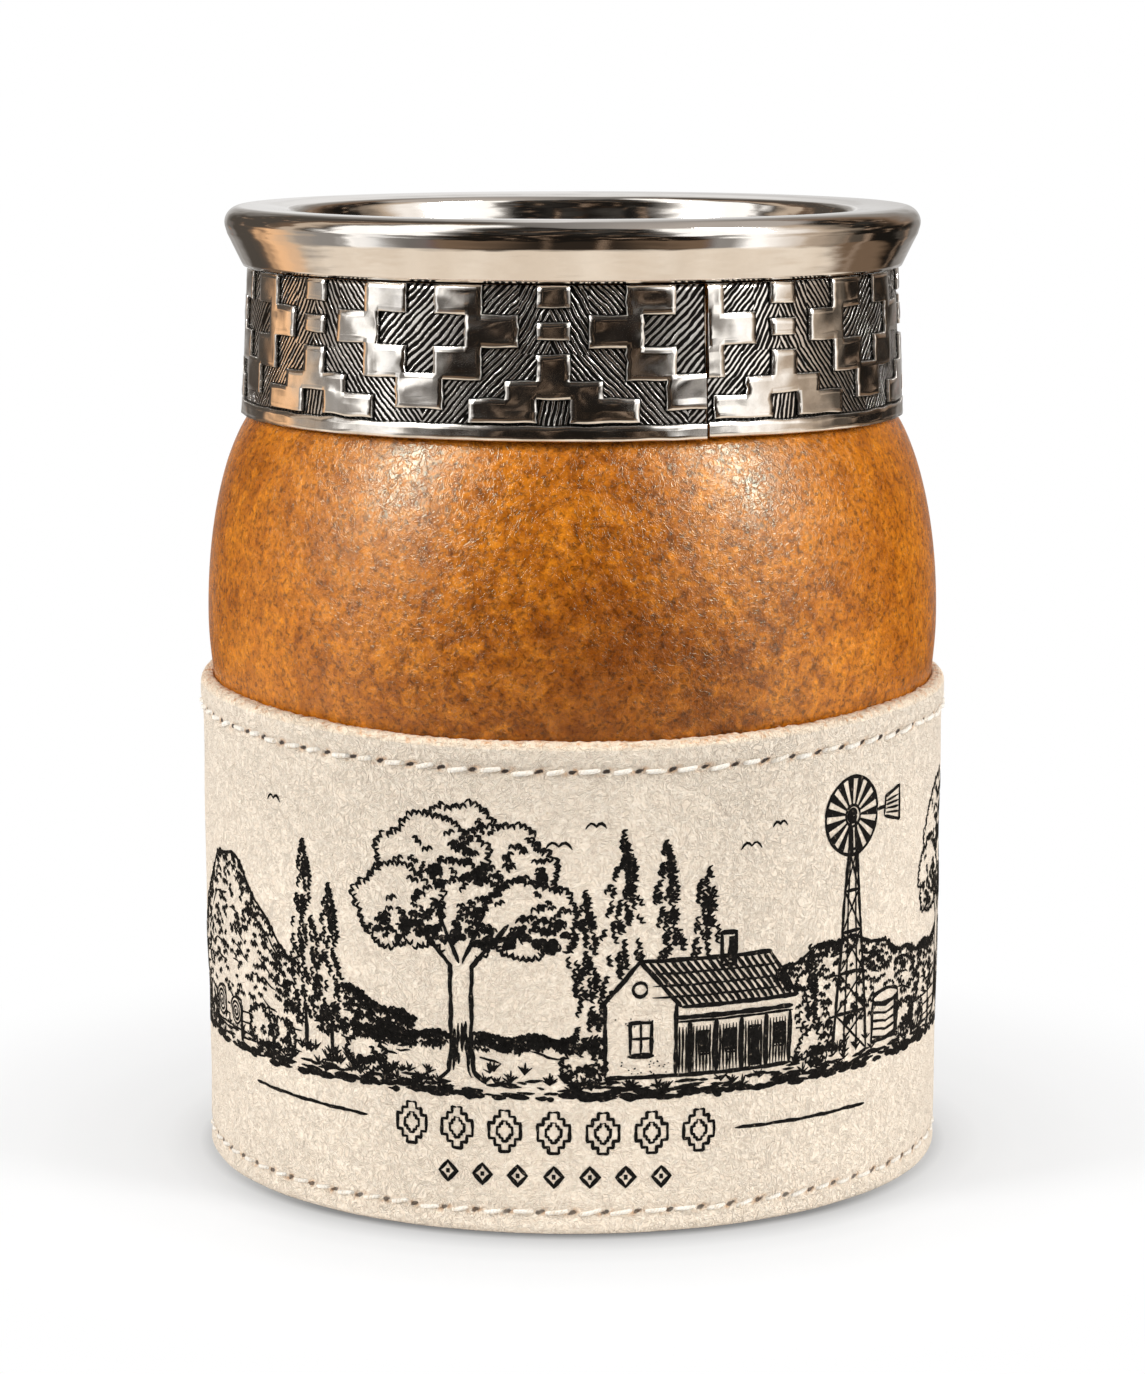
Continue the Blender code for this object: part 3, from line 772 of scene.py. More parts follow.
def crown(along, up, wide, high, dark=0.75):
    """A mass of leaves: bows along an oval edge, and clumps inside, closer together low down
    and on the right, where it lies in shade. It covers what is drawn later."""
    around = np.linspace(0, 2 * np.pi, max(int(2.9 * (wide + high)), 7), endpoint=False)
    wave = 1 + 0.07 * np.sin(5 * around + hand.uniform(0, 6)) + 0.05 * np.sin(8 * around + hand.uniform(0, 6))
    edge = spots(along + wide * wave * np.cos(around), up + high * wave * np.sin(around))
    clumps(edge, 1.5, around - np.pi / 2, 0.30)
    count = int(wide * high * 8.5)
    radius, angle = np.sqrt(hand.uniform(0, 0.92, count)), hand.uniform(0, 2 * np.pi, count)
    x, y = radius * np.cos(angle), radius * np.sin(angle)
    kept = hand.uniform(0, 1, count) < np.clip(dark * (0.42 + 0.42 * x - 0.55 * y), 0.05, 1)
    inner = spots(along + wide * x, up + high * y)
    clumps(inner[kept], hand.uniform(0.8, 1.5, kept.sum()), hand.normal(0, 0.6, kept.sum()), 0.31)
    hollow = kept & (0.35 * x - y + hand.normal(0, 0.25, count) > 0.62)
    clumps(inner[hollow], 1.1, hand.normal(0, 0.5, hollow.sum()), 0.62, bows=1)
    covers.append((along, up, wide * 0.97, high * 0.97, 2))


def spreading_tree(along, up, tall, wide):
    """A broad old tree: flared trunk with bark lines, forked boughs and a crown of six masses."""
    foot, fork = np.array([along, up]), np.array([along, up + 0.42 * tall])
    for side in (-1, 1):
        pen(line(foot + (side * 2.9, 0), foot + (side * 1.5, 1.2), foot + (side * 1.15, 4.0),
                 fork + (side * 1.25, 0), fork + (side * 0.22 * wide, 0.16 * tall)), 0.38)
        pen(line(fork + (side * 0.2, 0.3), fork + (side * 0.11 * wide, 0.20 * tall)), 0.34)
    bark, low, high = (hand.uniform(*span, 26)[:, None] for span in ((-1, 1), (0, 5), (1.4, 3.4)))
    rise = low + np.linspace(0, 1, 6)[None, :] * high
    half = np.interp(rise, (0, 1.2, 4.0, 9.0), (2.4, 1.35, 1.0, 1.05))
    pen(spots(along + bark * half, up + np.minimum(rise, 0.45 * tall)), 0.25)
    covers.append((along, up + 0.24 * tall, 1.7, 0.26 * tall, 8))
    for x, y, half_wide, half_high in ((-0.30, 0.62, 0.21, 0.14), (0.31, 0.60, 0.20, 0.13),
                                       (0.02, 0.60, 0.20, 0.13), (-0.14, 0.78, 0.25, 0.17),
                                       (0.17, 0.77, 0.24, 0.16), (0.0, 0.88, 0.18, 0.12)):
        crown(along + x * wide, up + y * tall, half_wide * wide, half_high * tall)


def poplar(along, up, tall):
    """A tall narrow tree: upright leaf strokes inside a spindle, thick on its right side."""
    count = int(tall * 6)
    y = hand.uniform(0.08, 1, count)
    x = hand.uniform(-1, 1, count)
    kept = hand.uniform(0, 1, count) < 0.68 + 0.35 * x
    half = 0.085 * tall * np.sin(np.pi * np.clip(y, 0, 1) ** 0.75) ** 0.7 + 0.15
    places = spots(along + x * half, up + 0.06 * tall + y * 0.92 * tall)[kept]
    clumps(places, 1.3, np.pi / 2 + 0.35 * x[kept] + hand.normal(0, 0.2, kept.sum()), 0.29)
    pen(line((along, up), (along, up + 0.2 * tall)), 0.45)
    covers.append((along, up + 0.52 * tall, 0.085 * tall, 0.46 * tall, 2))


def farmhouse(along, up):
    """A low house seen from one corner: gable end on the left, long side with a veranda."""
    place = (along, up)
    ruled(place, (0.36, (0, 0), (0, 8.4)), (0.40, (-0.7, 7.8), (3.9, 13.2), (8.6, 7.8)),
          (0.36, (0, 0), (8, 0), (22.4, 0)), (0.36, (8, 0), (8, 8.4)),
          (0.38, (3.9, 13.2), (19.4, 13.2), (23.2, 7.8), (8.6, 7.8)))
    tiles = np.linspace(0, 1, 19)[1:-1, None]
    share = np.linspace(0, 1, 12)[None, :]
    pen(spots(along + 3.9 + 15.5 * tiles + share * (4.7 - 0.9 * tiles), up + 13.2 - 5.4 * share), 0.32, 0.03)
    pen(spots(along + 5.3 + 15.3 * share, up + np.array([11.7, 10.3, 9.0])[:, None]), 0.2, 0.04)
    ruled(place, (0.42, (8, 6.6), (22.6, 6.6)), (0.22, (8, 6.1), (22.6, 6.1)))
    ruled(place, *((0.42, (post, 0), (post, 6.2)) for post in np.linspace(9.6, 22.2, 5)), shake=0.02)
    for window in (11.3, 14.5, 20.7):
        boxed((along + window, up + 2.2), 1.3, 2.6, 0.24)
        filled(place, (0.85, (window, 2.4), (window, 4.7)))
    boxed((along + 17.6, up), 1.5, 4.8, 0.26)
    filled(place, (0.9, (17.6, 0.3), (17.6, 4.6)))
    boxed((along + 4.0, up + 2.6), 2.4, 3.6, 0.32)
    ruled(place, (0.24, (4.0, 2.6), (4.0, 6.2)), (0.24, (2.8, 4.4), (5.2, 4.4)),
          (0.4, (2.5, 2.4), (5.5, 2.4)), shake=0.02)
    pen(oval(along + 3.9, up + 10.0, 0.8, 0.8, 13), 0.3, 0.02)
    shade_along = hand.uniform(0.3, 7.6, 34)[:, None]
    shade_up = (hand.uniform(0.2, 1.9, 34) + np.where(hand.uniform(0, 1, 34) < 0.4, 5.6, 0))[:, None]
    pen(spots(along + shade_along + 0.7 * share[:, :4], up + shade_up), 0.2, 0.03)
    boxed((along + 14.2, up + 12.2), 1.7, 3.6, 0.34)
    ruled(place, (0.5, (13.1, 15.9), (15.3, 15.9)), shake=0.02)
    filled(place, (0.7, (14.6, 12.6), (14.6, 15.4)))
    wall = np.arange(along + 8.4, along + 22.2, 0.4)[:, None]
    pen(spots(wall, up + 0.2 + 5.8 * share[:, ::2]), 0.21, 0.05)
    covers.extend((along + x, up + y, wide, high, power)
                  for x, y, wide, high, power in ((11.4, 4.0, 11.6, 4.6, 8), (11.6, 10.2, 8.6, 3.4, 8),
                                                  (3.9, 9.4, 3.0, 2.4, 2), (14.2, 14.0, 1.1, 2.4, 8)))


def wind_pump(along, up, tall):
    """A water pump's mast of four legs and cross braces, with a wheel of blades and a vane."""
    top = up + tall - 4.6
    for side, reach in ((-1, 3.0), (1, 3.0), (-1, 1.1), (1, 1.2)):
        width = 0.34 if reach > 2 else 0.22
        pen(line((along + side * reach, up), (along + side * 0.35, top)), width, 0.02)
    levels = np.linspace(0, 0.86, 6)
    for low, high in zip(levels[:-1], levels[1:]):
        below, above = 3.0 - 2.65 * low, 3.0 - 2.65 * high
        foot, head = up + low * (top - up), up + high * (top - up)
        ruled((0, 0), (0.22, (along - below, foot), (along + above, head)),
              (0.22, (along + below, foot), (along - above, head)),
              (0.30, (along - above, head), (along + above, head)), shake=0.02)
    angle = np.linspace(0, 2 * np.pi, 15, endpoint=False)[:, None]
    share = np.linspace(1.3, 4.3, 6)[None, :]
    blades = spots(along + share * np.cos(angle), top + share * np.sin(angle))
    inked.append((blades, np.broadcast_to(0.25 + 0.26 * (share - 1.3), blades.shape[:2])))
    for reach, width in ((4.45, 0.30), (1.2, 0.26), (0.45, 0.7)):
        pen(oval(along, top, reach, reach, 49), width, 0.02, over=True)
    ruled((along, top), (0.34, (4.4, 0), (6.2, 0.1)),
          (0.32, (6.0, -1.0), (6.2, 1.2), (9.4, 2.0), (9.4, -1.9), (6.0, -1.0)), shake=0.02, over=True)
    rows = np.linspace(-0.6, 0.6, 4)[:, None]
    share = np.linspace(6.3, 9.2, 7)[None, :]
    pen(spots(along + share, top + rows * (1 + 0.2 * (share - 6))), 0.22, 0.02, over=True)
    covers.extend([(along, top, 4.6, 4.6, 2), (along + 7.8, top, 1.8, 1.8, 8)])


def water_tank(along, up, wide, tall):
    """A round tank of corrugated sheet."""
    half, place = wide / 2, (along, up)
    pen(oval(along, up + tall, half, 0.8, 33), 0.34, 0.03)
    ruled(place, (0.36, (-half, tall), (-half, 0), (half, 0), (half, tall)),
          *((0.24, (-half, row * tall), (0, row * tall - 0.5), (half, row * tall))
            for row in np.linspace(0.12, 0.88, 5)))
    filled(place, (0.8, (0.42 * wide, 0.3), (0.42 * wide, tall - 0.3)))
    covers.append((along, up + tall / 2, half, tall / 2 + 0.7, 8))


def fence(start, stop, up, rise=0.0):
    """Posts of rough timber with three wires, along ground that rises evenly."""
    posts = np.arange(start, stop, 3.4)
    posts = (posts + hand.normal(0, 0.15, len(posts)))[:, None]
    share = np.linspace(0, 1, 8)[None, :]
    ground = up + rise * (posts - start) / (stop - start)
    lean = hand.normal(0, 0.12, len(posts))[:, None]
    pen(spots(posts + lean * share, ground + 4.3 * share), 0.52, 0.03, blunt=0.8)
    for wire_up in (1.3, 2.5, 3.7):
        pen(line((start, up + wire_up), (stop, up + rise + wire_up)), 0.19, 0.05)


def hill(start, stop, base, humps, ripple, wooded, rows=7):
    """A far hill. Its ridge is a base with bell-shaped humps, each a height, a middle and a
    reach, and a sine ripple. Under it are rows of broken contour lines, and woods drawn as
    leaf clumps, close at the top and thinning down the slope."""
    def ridge(along):
        """Height of the ridge at places along the strip."""
        up = base
        for high, middle, reach in humps:
            up = up + high * np.exp(-((along - middle) / reach) ** 2)
        return up + ripple[0] * np.sin(along * ripple[1])

    whole = np.arange(start, stop, 0.6)
    pen(spots(whole, ridge(whole)), 0.30, 0.10)
    for share in np.linspace(0.86, 0.25, rows):
        for left in np.arange(start, stop, 7.0):
            if hand.uniform() < 0.62:
                part = np.arange(left + hand.uniform(0, 2), min(left + hand.uniform(3.5, 7), stop), 0.6)
                if len(part) > 3:
                    pen(spots(part, 19 + (ridge(part) - 19) * share + 0.25 * np.sin(part)), 0.20, 0.10)
    count = int((stop - start) * 15 * wooded)
    along = hand.uniform(start, stop, count)
    drop = hand.uniform(0, 1, count) ** 1.8
    places = spots(along, ridge(along) - 0.2 - drop * np.maximum(ridge(along) - 21, 0.5))
    clumps(places, hand.uniform(0.7, 1.35, count), hand.normal(0.0, 0.35, count), 0.30)


def grass(start, stop, low, high, count):
    """Tufts of five bent blades from one root, and flat scrapes of the pen between them, the
    lowest ones broad."""
    along, up = hand.uniform(start, stop, count)[:, None], hand.uniform(low, high, count)[:, None]
    share = np.linspace(0, 1, 5)[None, :]
    for lean in (-0.8, -0.35, 0.05, 0.4, 0.85):
        tall = hand.uniform(0.5, 1.25, count)[:, None] * (1.2 - 0.4 * abs(lean))
        pen(spots(along + lean * share ** 1.5, up + tall * share), 0.22, 0.02)
    for broad, many, rise in ((0.26, int(count * 1.6), 0.75), (0.52, int(count * 0.9), 0.3)):
        along = hand.uniform(start, stop, many)[:, None]
        up = (low - 0.4 + (high - low) * rise * hand.uniform(0, 1, many))[:, None]
        wide = hand.uniform(0.8, 2.6, many)[:, None]
        pen(spots(along + wide * share, up + hand.normal(0, 0.08, many)[:, None] * share), broad, 0.08)


def bales(along, up):
    """Two round bales of hay."""
    turn = np.linspace(0, 7 * np.pi, 60)
    for x, reach in ((0, 2.0), (5.2, 1.8)):
        wound = reach * turn / turn[-1]
        pen(spots(along + x + wound * np.cos(turn), up + reach + wound * np.sin(turn)), 0.24, 0.03)
        pen(line((0, 2 * reach), (1.6, 2 * reach - 0.1), (1.7, 0.4), place=(along + x, up)), 0.3)
        covers.append((along + x, up + reach, reach, reach, 2))


def birds(*places):
    """Far birds: two shallow bows each."""
    share = np.linspace(-1, 1, 9)[None, :]
    along, up, reach = (np.array(column)[:, None] for column in zip(*places))
    bows = 0.42 * reach * np.abs(np.sin(np.pi * share)) - 0.25 * reach * np.abs(share)
    pen(spots(along + reach * share, up + bows), 0.24, 0.02)


# The nearest things first, because each hides what is drawn after it.
for along, reach in ((-62, 3.0), (-57.5, 2.2), (-41.5, 2.6), (-37.5, 2.0), (-24.5, 2.3), (1.2, 2.2),
                     (29.8, 2.4), (46.8, 2.2), (51, 1.8)):
    crown(along, 18.4 + 0.45 * reach, reach, 0.72 * reach, dark=0.95)
spreading_tree(-12.5, 17.2, 31.5, 25.0)
farmhouse(3.6, 18.0)
wind_pump(35.2, 17.6, 32.0)
for along, tall in ((1.6, 21.5), (5.8, 28.5), (10.6, 27.0), (15.4, 24.0), (29.0, 13.0)):
    poplar(along, 18.0, tall)
water_tank(42.2, 18.0, 5.8, 5.0)
poplar(-33.2, 18.2, 24.5)
poplar(-29.2, 18.2, 20.0)
spreading_tree(60.5, 17.4, 28.0, 19.0)
bales(-53.5, 18.0)
fence(-67, -34, 16.6)
fence(45.5, 71, 16.8, 0.6)
hill(-78, -18, 23, ((15.5, -50, 12.5), (3.0, -28, 9)), (0.35, 0.9), 1.0)
hill(-26, 76, 22.5, ((8.5, 33, 15), (5.0, 63, 15)), (0.3, 1.1), 0.8, rows=4)
birds((-1.5, 44.5, 1.5), (2.6, 46.8, 1.2), (6.2, 44.8, 1.0), (20.5, 43.5, 1.3), (24.2, 45.6, 1.0),
      (-38.5, 46.5, 1.2))
grass(-134, 134, 16.0, 18.8, 430)
# The country goes on round the back, up to the seam.
spreading_tree(-103, 17.4, 27.0, 21.0)
poplar(-84, 18.2, 22.0)
poplar(-80.5, 18.2, 18.0)
crown(-124, 19.6, 3.2, 2.2)
crown(88, 19.6, 3.4, 2.4)
spreading_tree(115, 17.4, 25.0, 18.0)
water_tank(97, 18.0, 6.0, 4.6)
fence(74, 134, 16.6)
fence(-134, -70, 16.8)
hill(-134, -72, 23, ((9.5, -112, 16),), (0.35, 0.8), 0.6)
hill(70, 134, 23, ((11.0, 97, 15),), (0.35, 0.7), 0.7)


def lozenge(along, up, wide, tall, width):
    """A stepped lozenge: three steps a side, mirrored four ways."""
    quarter = np.array([(0, 1), (0.24, 1), (0.24, 0.70), (0.50, 0.70), (0.50, 0.38), (0.78, 0.38),
                        (0.78, 0.0)])
    corners = np.concatenate([quarter, quarter[::-1] * (1, -1), -quarter, quarter[::-1] * (-1, 1)])
    pen(line(*(corners * (wide / 2, tall / 2)), place=(along, up)), width, 0.03)


# The rows fall a little to the right, as the rules beside them do.
SLOPE = -0.014
for along in np.linspace(-18.6, 14.4, 7):
    lozenge(along, 11.75 + SLOPE * along, 4.6, 4.7, 0.27)
    lozenge(along, 11.75 + SLOPE * along, 2.2, 2.3, 0.24)
for along in np.linspace(-14.2, 10.0, 7):
    place = (along, 6.7 + SLOPE * along)
    ruled(place, (0.36, (-1.0, 0), (0, 1.1), (1.0, 0), (0, -1.1), (-1.0, 0), (0, 1.1)), shake=0.0)
    filled(place, (0.45, (-0.22, 0), (0.22, 0)))
pen(line((-43.2, 12.7), (-24.3, 12.2)), 0.30, 0.05)
pen(line((18.8, 11.3), (38.2, 11.1)), 0.30, 0.05)


def ink_mesh(name, strokes, lift):
    """One mesh of all ribbons: each point of a stroke gives a left and a right edge, half a
    width to either side of the stroke's own direction."""
    points, faces, start = [], [], 0
    for places, widths in strokes:
        if not len(places):
            continue
        way = np.gradient(places, axis=1)
        way = way / np.maximum(np.linalg.norm(way, axis=2, keepdims=True), 1e-9)
        side = np.stack([-way[..., 1], way[..., 0]], -1) * widths[..., None] / 2
        count, length = places.shape[:2]
        number = start + np.arange(count * length * 2).reshape(count, length, 2)
        quads = (number[:, :-1, 1], number[:, 1:, 1], number[:, 1:, 0], number[:, :-1, 0])
        faces.append(np.stack(quads, -1).reshape(-1, 4))
        points.append(np.stack([places + side, places - side], 2).reshape(-1, 2))
        start += count * length * 2
    along, up = np.concatenate(points).T
    return mesh_piece(name, on_sleeve(along / SLEEVE_ROLL, up, lift), np.concatenate(faces).tolist())


drawing = ink_mesh("printed_drawing", inked, 0.035)
ink, tree, shader = recipe("printing_ink", Roughness=0.75, Specular_IOR_Level=0.06)
shade, fibres = hide_marks(tree)[:2]
colour = ramp(shade, (0.40, (0.004, 0.0035, 0.003)), (0.60, (0.009, 0.008, 0.007)))
missed = ramp(shade, (0.64, 0.0), (0.72, 0.6))
feed(shader, {"Base Color": mixed(missed, colour, (0.30, 0.24, 0.18))})
raise_marks(shader, fibres, 0.12, 0.6)
drawing.data.materials.append(ink)
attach(drawing, "root")

# The base. A disc of thicker leather, its flesh side out, moulded up into a low dish that the
# lower row of stitches holds inside the sleeve.
base_path = join_path(
    (np.linspace(1.0, 38.9, 10), 0.0), arc((39.1, 2.4), 2.4, -88, 0, 10), (41.5, np.linspace(3.0, 7.6, 6)),
    (39.5, np.linspace(7.6, 3.4, 6)), arc((39.1, 2.4), 0.4, -5, -90, 4), (np.linspace(38.4, 1.0, 10), 2.0))
base = turned_piece("moulded_leather_base", base_path, columns=224, caps=("first", "last"))


def length(vector):
    """The length of a vector."""
    return wire(vector.tree, "VectorMath", "Value", {0: vector}, operation="LENGTH")


flesh, tree, shader = recipe("base_leather", Roughness=0.9, Sheen_Weight=0.2, Specular_IOR_Level=0.25)
shade, fibres = hide_marks(tree, 0.8)[:2]
colour = ramp(shade, (0.35, (0.38, 0.235, 0.135)), (0.52, (0.56, 0.385, 0.245)), (0.68, (0.68, 0.50, 0.35)))
# A ring near the edge is worn darker, where the cup stands on the table.
worn = ramp(length(object_place(tree)) * 20.0, (0.70, 0.0), (0.78, 0.6), (0.83, 0.0))
feed(shader, {"Base Color": mixed(worn, colour, (0.30, 0.19, 0.11))})
raise_marks(shader, fibres, 0.25, 0.8)
base.data.materials.append(flesh)
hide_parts("base_cup")
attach(base, "root")

# The sewing. Waxed off-white linen thread in two rows of long running stitches, and slanted
# stitches that lace the butted ends together at the back. Each stitch comes out of one slit
# and goes back in at the next.
THREAD_ROLL, SIDES, POINTS, LACES = 44.0, 6, 9, 14


def stitches(name, turn, up, reach_turn, reach_up, thickness, rise):
    """Short threads, one for each centre: a tube of six sides along an arch, which starts and
    ends below the leather. reach is half of a stitch, as a turn and as a height."""
    run = np.linspace(-1, 1, POINTS)[None, :, None]
    side = (np.arange(SIDES) * np.pi / 3)[None, None, :]
    half = thickness / 2 * (1 - 0.45 * np.abs(run) ** 4)
    arch = rise * (1 - np.abs(run) ** 3.0) - 0.34 * np.abs(run) ** 6
    turn, up, reach_turn, reach_up = (np.broadcast_to(value, turn.shape)[:, None, None]
                                      for value in (turn, up, reach_turn, reach_up))
    far = np.hypot(reach_turn * THREAD_ROLL, reach_up)
    across_turn, across_up = -reach_up / far / THREAD_ROLL, reach_turn * THREAD_ROLL / far
    offset = half * np.cos(side)
    places = on_sleeve(turn + reach_turn * run + across_turn * offset,
                       up + reach_up * run + across_up * offset, arch - 0.12 + half * np.sin(side) * 0.9)
    number = np.arange(len(places) * POINTS * SIDES).reshape(-1, POINTS, SIDES)
    beside = np.roll(number, -1, axis=2)
    quads = np.stack([number[:, :-1], number[:, 1:], beside[:, 1:], beside[:, :-1]], -1).reshape(-1, 4)
    lids = np.concatenate([number[:, 0], number[:, -1, ::-1]])
    lay = np.stack(np.broadcast_arrays(run * far / 0.52, side / (2 * np.pi)), -1).reshape(-1, 2)
    corner_of = np.concatenate([quads.ravel(), lids.ravel()])
    return mesh_piece(name, places, quads.tolist() + lids.tolist(), lay[corner_of])


def row_of_stitches(name, row, seed, thickness, rise):
    """A row right round, every stitch a little different in length, height and slant. The
    one that would cross the seam is left out."""
    draw = np.random.default_rng(seed)
    turn = (np.arange(STITCHES) / STITCHES - 0.5) * 2 * np.pi
    turn = turn + draw.normal(0, 0.12, STITCHES) / THREAD_ROLL
    keep = np.abs(np.abs(turn) - np.pi) > 1.2 / THREAD_ROLL
    up = row + draw.normal(0, 0.09, STITCHES)
    reach = (1.36 + draw.normal(0, 0.10, STITCHES)) / THREAD_ROLL
    slant = 0.18 + draw.normal(0, 0.09, STITCHES)
    return stitches(name, turn[keep], up[keep], reach[keep], slant[keep], thickness, rise)


upper_sewing = row_of_stitches("upper_row_of_stitches", UPPER_ROW, 61, 0.60, 0.34)
lower_sewing = row_of_stitches("lower_row_of_stitches", LOWER_ROW, 62, 0.50, 0.26)
back_lacing = stitches("back_seam_lacing", np.full(LACES, np.pi), np.linspace(5.2, 51.0, LACES),
                       2.1 / THREAD_ROLL, 1.1, 0.62, 0.42)

linen, tree, shader = recipe("linen_thread", Roughness=0.75, Sheen_Weight=0.2, Specular_IOR_Level=0.3)
lay = wire(tree, "UVMap", "UV", uv_map="lay")
twist = ((axis(lay, "X") * 1.3 + axis(lay, "Y") * 2.0) * (2 * math.pi)).by("SINE")
tone = twist * 0.07 + cloud(object_place(tree), 0.9, detail=4)
feed(shader, {"Base Color": ramp(tone, (0.28, (0.58, 0.48, 0.36)), (0.42, (0.71, 0.65, 0.565)),
                                 (0.70, (0.77, 0.73, 0.665)))})
raise_marks(shader, twist, 0.03, 0.6)
for sewing in (upper_sewing, lower_sewing, back_lacing):
    sewing.data.materials.append(linen)
    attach(sewing, "root")

# The table and the light. A white board under the cup, two high soft boxes at the front and
# two low ones at the sides that the metal doesn't mirror. Board and backdrop are white to the
# eye, and the metal mirrors surroundings of its own.
turn = np.linspace(0, -2 * np.pi, 96, endpoint=False)[None, :]
spread = np.array([0.01, 50.0, 120.0, 250.0, 420.0])[:, None]
board = grid_piece("white_board", turned_points(turn, spread, -0.02), ring=True)


def noise(vector, scale, detail=3.0):
    """Noise value of a plain vector."""
    return wire(vector.tree, "TexNoise", "Fac", {"Vector": vector, "Scale": scale, "Detail": detail,
                                                 "Roughness": 0.5})


# Eight named surroundings, placed round the cup by shares of a turn from behind: what
# stands at its own height, and what stands above it. Noise breaks their edges.
card, paper, grey, tan = (1.35, 1.32, 1.28), (0.86, 0.85, 0.84), (0.32, 0.30, 0.28), (0.60, 0.48, 0.37)
orange, brown, shadow, dark = ((1.05, 0.62, 0.33), (0.20, 0.13, 0.085), (0.085, 0.072, 0.060),
                               (0.012, 0.010, 0.008))
level = ((0.0, paper), (0.05, grey), (0.09, shadow), (0.125, shadow), (0.14, brown), (0.16, orange),
         (0.21, tan), (0.24, grey), (0.275, grey), (0.29, card), (0.32, paper), (0.34, grey), (0.395, dark),
         (0.605, dark), (0.63, grey), (0.645, grey), (0.66, card), (0.68, card), (0.73, tan), (0.80, dark),
         (0.88, dark), (0.905, shadow), (0.95, grey), (1.0, paper))
above = ((0.0, paper), (0.045, grey), (0.075, shadow), (0.15, shadow), (0.185, brown), (0.195, tan),
         (0.21, tan), (0.23, shadow), (0.245, grey), (0.255, card), (0.365, card), (0.385, grey),
         (0.41, dark), (0.57, dark), (0.59, grey), (0.60, card), (0.69, card), (0.75, tan), (0.80, dark),
         (0.845, dark), (0.885, brown), (0.95, grey), (1.0, paper))
ring, (way,), result = effect("surroundings", {"Way": "Vector"}, {"Colour": "Color"})
even = wire(ring, "VectorMath", 0, {0: way}, operation="NORMALIZE")
share = axis(way, "X").by("ARCTAN2", axis(way, "Y") * -1.0) * (1 / (2 * math.pi)) + 0.5
share = (noise(even, 4.2) - 0.5) * 0.08 + share
specks = ramp(noise(even, 9.0), (0.48, (0.0, 0.0, 0.0)), (0.58, (0.026, 0.017, 0.011)),
              (0.63, (0.12, 0.078, 0.05)), (0.68, (0.32, 0.23, 0.165)))
seen = mixed(eased_value(axis(even, "Z"), 0.01, 0.09), ramp(share, *level), ramp(share, *above))
feed(result, {"Colour": mixed(1.0, seen, specks, "LIGHTEN")})


def surroundings(way):
    """The colour of the surroundings in a direction."""
    return Wire(node(way.tree, "Group", {"Way": way}, node_tree=ring).outputs["Colour"])


white, tree, shader = recipe("white_board", Roughness=0.9, Specular_IOR_Level=0.2,
                             Emission_Color=(1.0, 1.0, 1.0))
place = object_place(tree)
to_eye, to_metal = (wire(tree, "LightPath", title) for title in ("Is Camera Ray", "Is Glossy Ray"))
far, aside = length(place), abs(axis(place, "X"))
# For glossy rays the board glows with a painted reflection: a beige sheet under the cup, and
# round it a dark table, brown at its sides.
table = mixed(eased_value(aside, 0.04, 0.14), (0.030, 0.022, 0.016), (0.19, 0.125, 0.08))
table = mixed(eased_value(far, 0.26, 0.34), table, (0.0, 0.0, 0.0))
beyond = mixed(1.0, surroundings(place), table, "LIGHTEN")
beige = ramp(cloud(place, 55.0, detail=3), (0.40, (0.86, 0.73, 0.59)), (0.60, (0.98, 0.86, 0.72)))
sheet = length(stretched(place, (0.72, 1.0, 1.0)))
mirrored = mixed(eased_value(sheet, 0.118, 0.152), beige, beyond)
# The eye sees white paper, with a painted shadow close round the cup's foot, weaker at its sides.
near = wire(tree, "MapRange", 0, {"Value": far, "From Min": 0.043, "From Max": 0.065})
painted_shadow = ramp(near, (0.03, 0.28), (0.10, 0.61), (0.19, 0.73), (0.30, 0.85), (0.50, 0.93), (1.0, 1.0))
painted_shadow = mixed(eased_value(aside, 0.026, 0.044) * 0.5, painted_shadow, (1.0, 1.0, 1.0))
feed(shader, {"Base Color": mixed(to_eye, (0.93, 0.93, 0.93), tinted(painted_shadow, (0.21, 0.21, 0.21))),
              "Emission Strength": to_eye * (painted_shadow * 0.70)})
glow = node(tree, "Emission", {"Color": mixed(to_metal, (1.0, 1.0, 1.0), mirrored), "Strength": 1.0})
seen = (eased_value(far, 0.054, 0.100) * to_eye).by("MAXIMUM", to_metal)
lit = node(tree, "MixShader", {0: seen, 1: Wire(shader.outputs[0]), 2: Wire(glow.outputs[0])})
feed(tree.nodes["Material Output"], {"Surface": Wire(lit.outputs[0])})
board.data.materials.append(white)

world = bpy.data.worlds.new("studio")
world.use_nodes = True
bpy.context.scene.world = world
tree = world.node_tree
tree.nodes.clear()
way = wire(tree, "TexCoord", "Generated")
side, depth, up = (axis(way, letter) for letter in ("X", "Y", "Z"))
to_eye, to_metal = (wire(tree, "LightPath", title) for title in ("Is Camera Ray", "Is Glossy Ray"))
studio = surroundings(way)
gloom = ramp(wire(tree, "TexNoise", "Fac", {"Vector": way, "Scale": 6.0, "Detail": 3.0}),
             (0.42, (0.012, 0.011, 0.010)), (0.62, (0.055, 0.050, 0.044)))
studio = mixed(eased_value(up, 0.14, 0.55), studio, mixed(1.0, studio, gloom, "LIGHTEN"))
ceiling = ramp(side * 0.5 + 0.5, (0.32, (0.07, 0.06, 0.05)), (0.50, (0.29, 0.275, 0.26)),
               (0.68, (0.52, 0.47, 0.43)))
studio = mixed(eased_value(side * 0.3 + up, 0.865, 0.935), studio, ceiling)
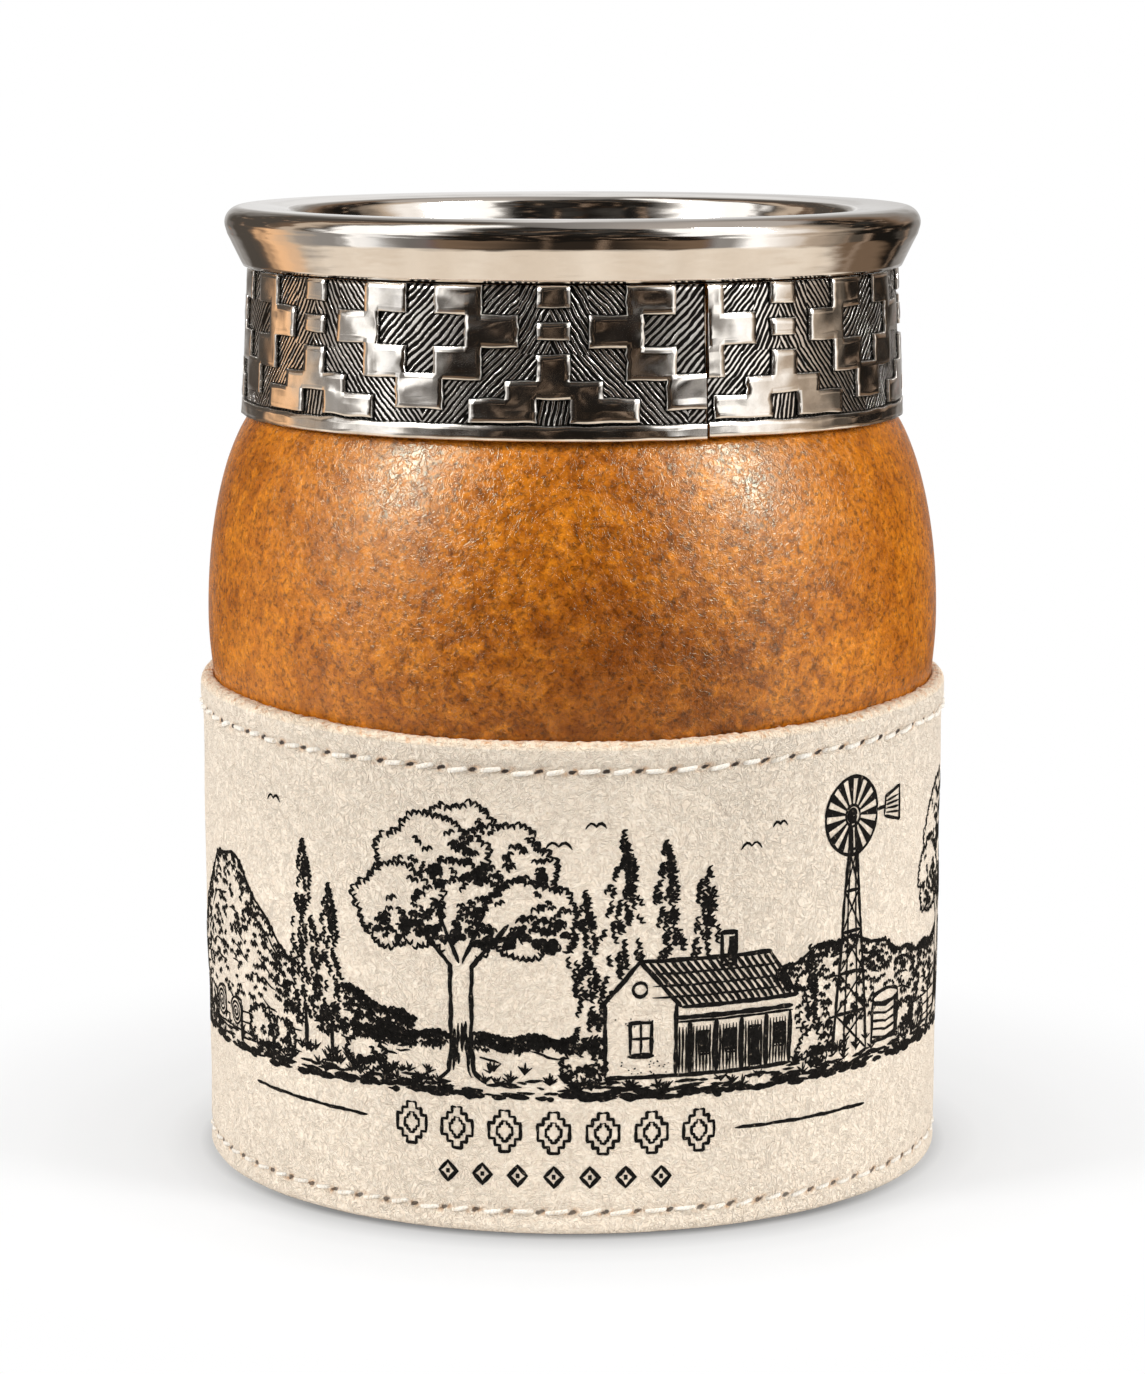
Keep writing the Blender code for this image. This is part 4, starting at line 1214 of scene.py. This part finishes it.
# The light of the room itself is soft and grey, and weakest from the photographer's side.
soft = mixed(eased_value(up, 0.0, 0.9), (0.28, 0.28, 0.285), (0.42, 0.42, 0.425))
soft = mixed(eased_value(depth * -1.0, 0.2, 1.0), soft, (0.058, 0.058, 0.058))
shown = mixed(to_eye, mixed(to_metal, soft, studio), (1.0, 1.0, 1.0))
sky = node(tree, "Background", {"Color": shown, "Strength": 1.0})
node(tree, "OutputWorld", {"Surface": Wire(sky.outputs[0])})


def soft_box(name, turn, rise, size, power, mirrored=True):
    """Rectangular lamp a metre off that looks at the cup's middle, from a turn and a rise in
    degrees."""
    lamp = bpy.data.lights.new(name, "AREA")
    lamp.shape, lamp.size, lamp.size_y, lamp.energy = "RECTANGLE", size[0], size[1], power
    turn, rise = math.radians(turn), math.radians(rise)
    out = math.cos(rise)
    stand = bpy.data.objects.new(name, lamp)
    stand.location = (out * math.sin(turn), -out * math.cos(turn), 0.06 + math.sin(rise))
    stand.rotation_euler = (math.pi / 2 - rise, 0, turn)
    stand.visible_camera = False
    stand.visible_glossy = mirrored
    bpy.context.scene.collection.objects.link(stand)


soft_box("soft_box_left", -61.5, 35, (0.22, 0.58), 8.1)
soft_box("low_soft_box_left", -80, 14, (0.50, 0.50), 2.1, mirrored=False)
soft_box("soft_box_right", 60.5, 35, (0.22, 0.58), 8.3)
soft_box("low_soft_box_right", 78, 14, (0.50, 0.50), 2.0, mirrored=False)

# The camera. It stands where the photograph was taken, 480 mm in front of the cup's axis and
# 132 mm above the table, and looks 9.2 degrees down.
lens = bpy.data.cameras.new("camera")
lens.lens, lens.sensor_width, lens.sensor_fit = 106.3, 36.0, "AUTO"
lens.clip_start, lens.clip_end = 0.02, 20.0
camera = bpy.data.objects.new("camera", lens)
camera.location = (0.0, -0.4787, 0.1324)
camera.rotation_euler = (math.pi / 2 - 0.16092, 0.0, 0.0)
bpy.context.scene.collection.objects.link(camera)
bpy.context.scene.camera = camera
bpy.context.scene.view_settings.view_transform = "Standard"
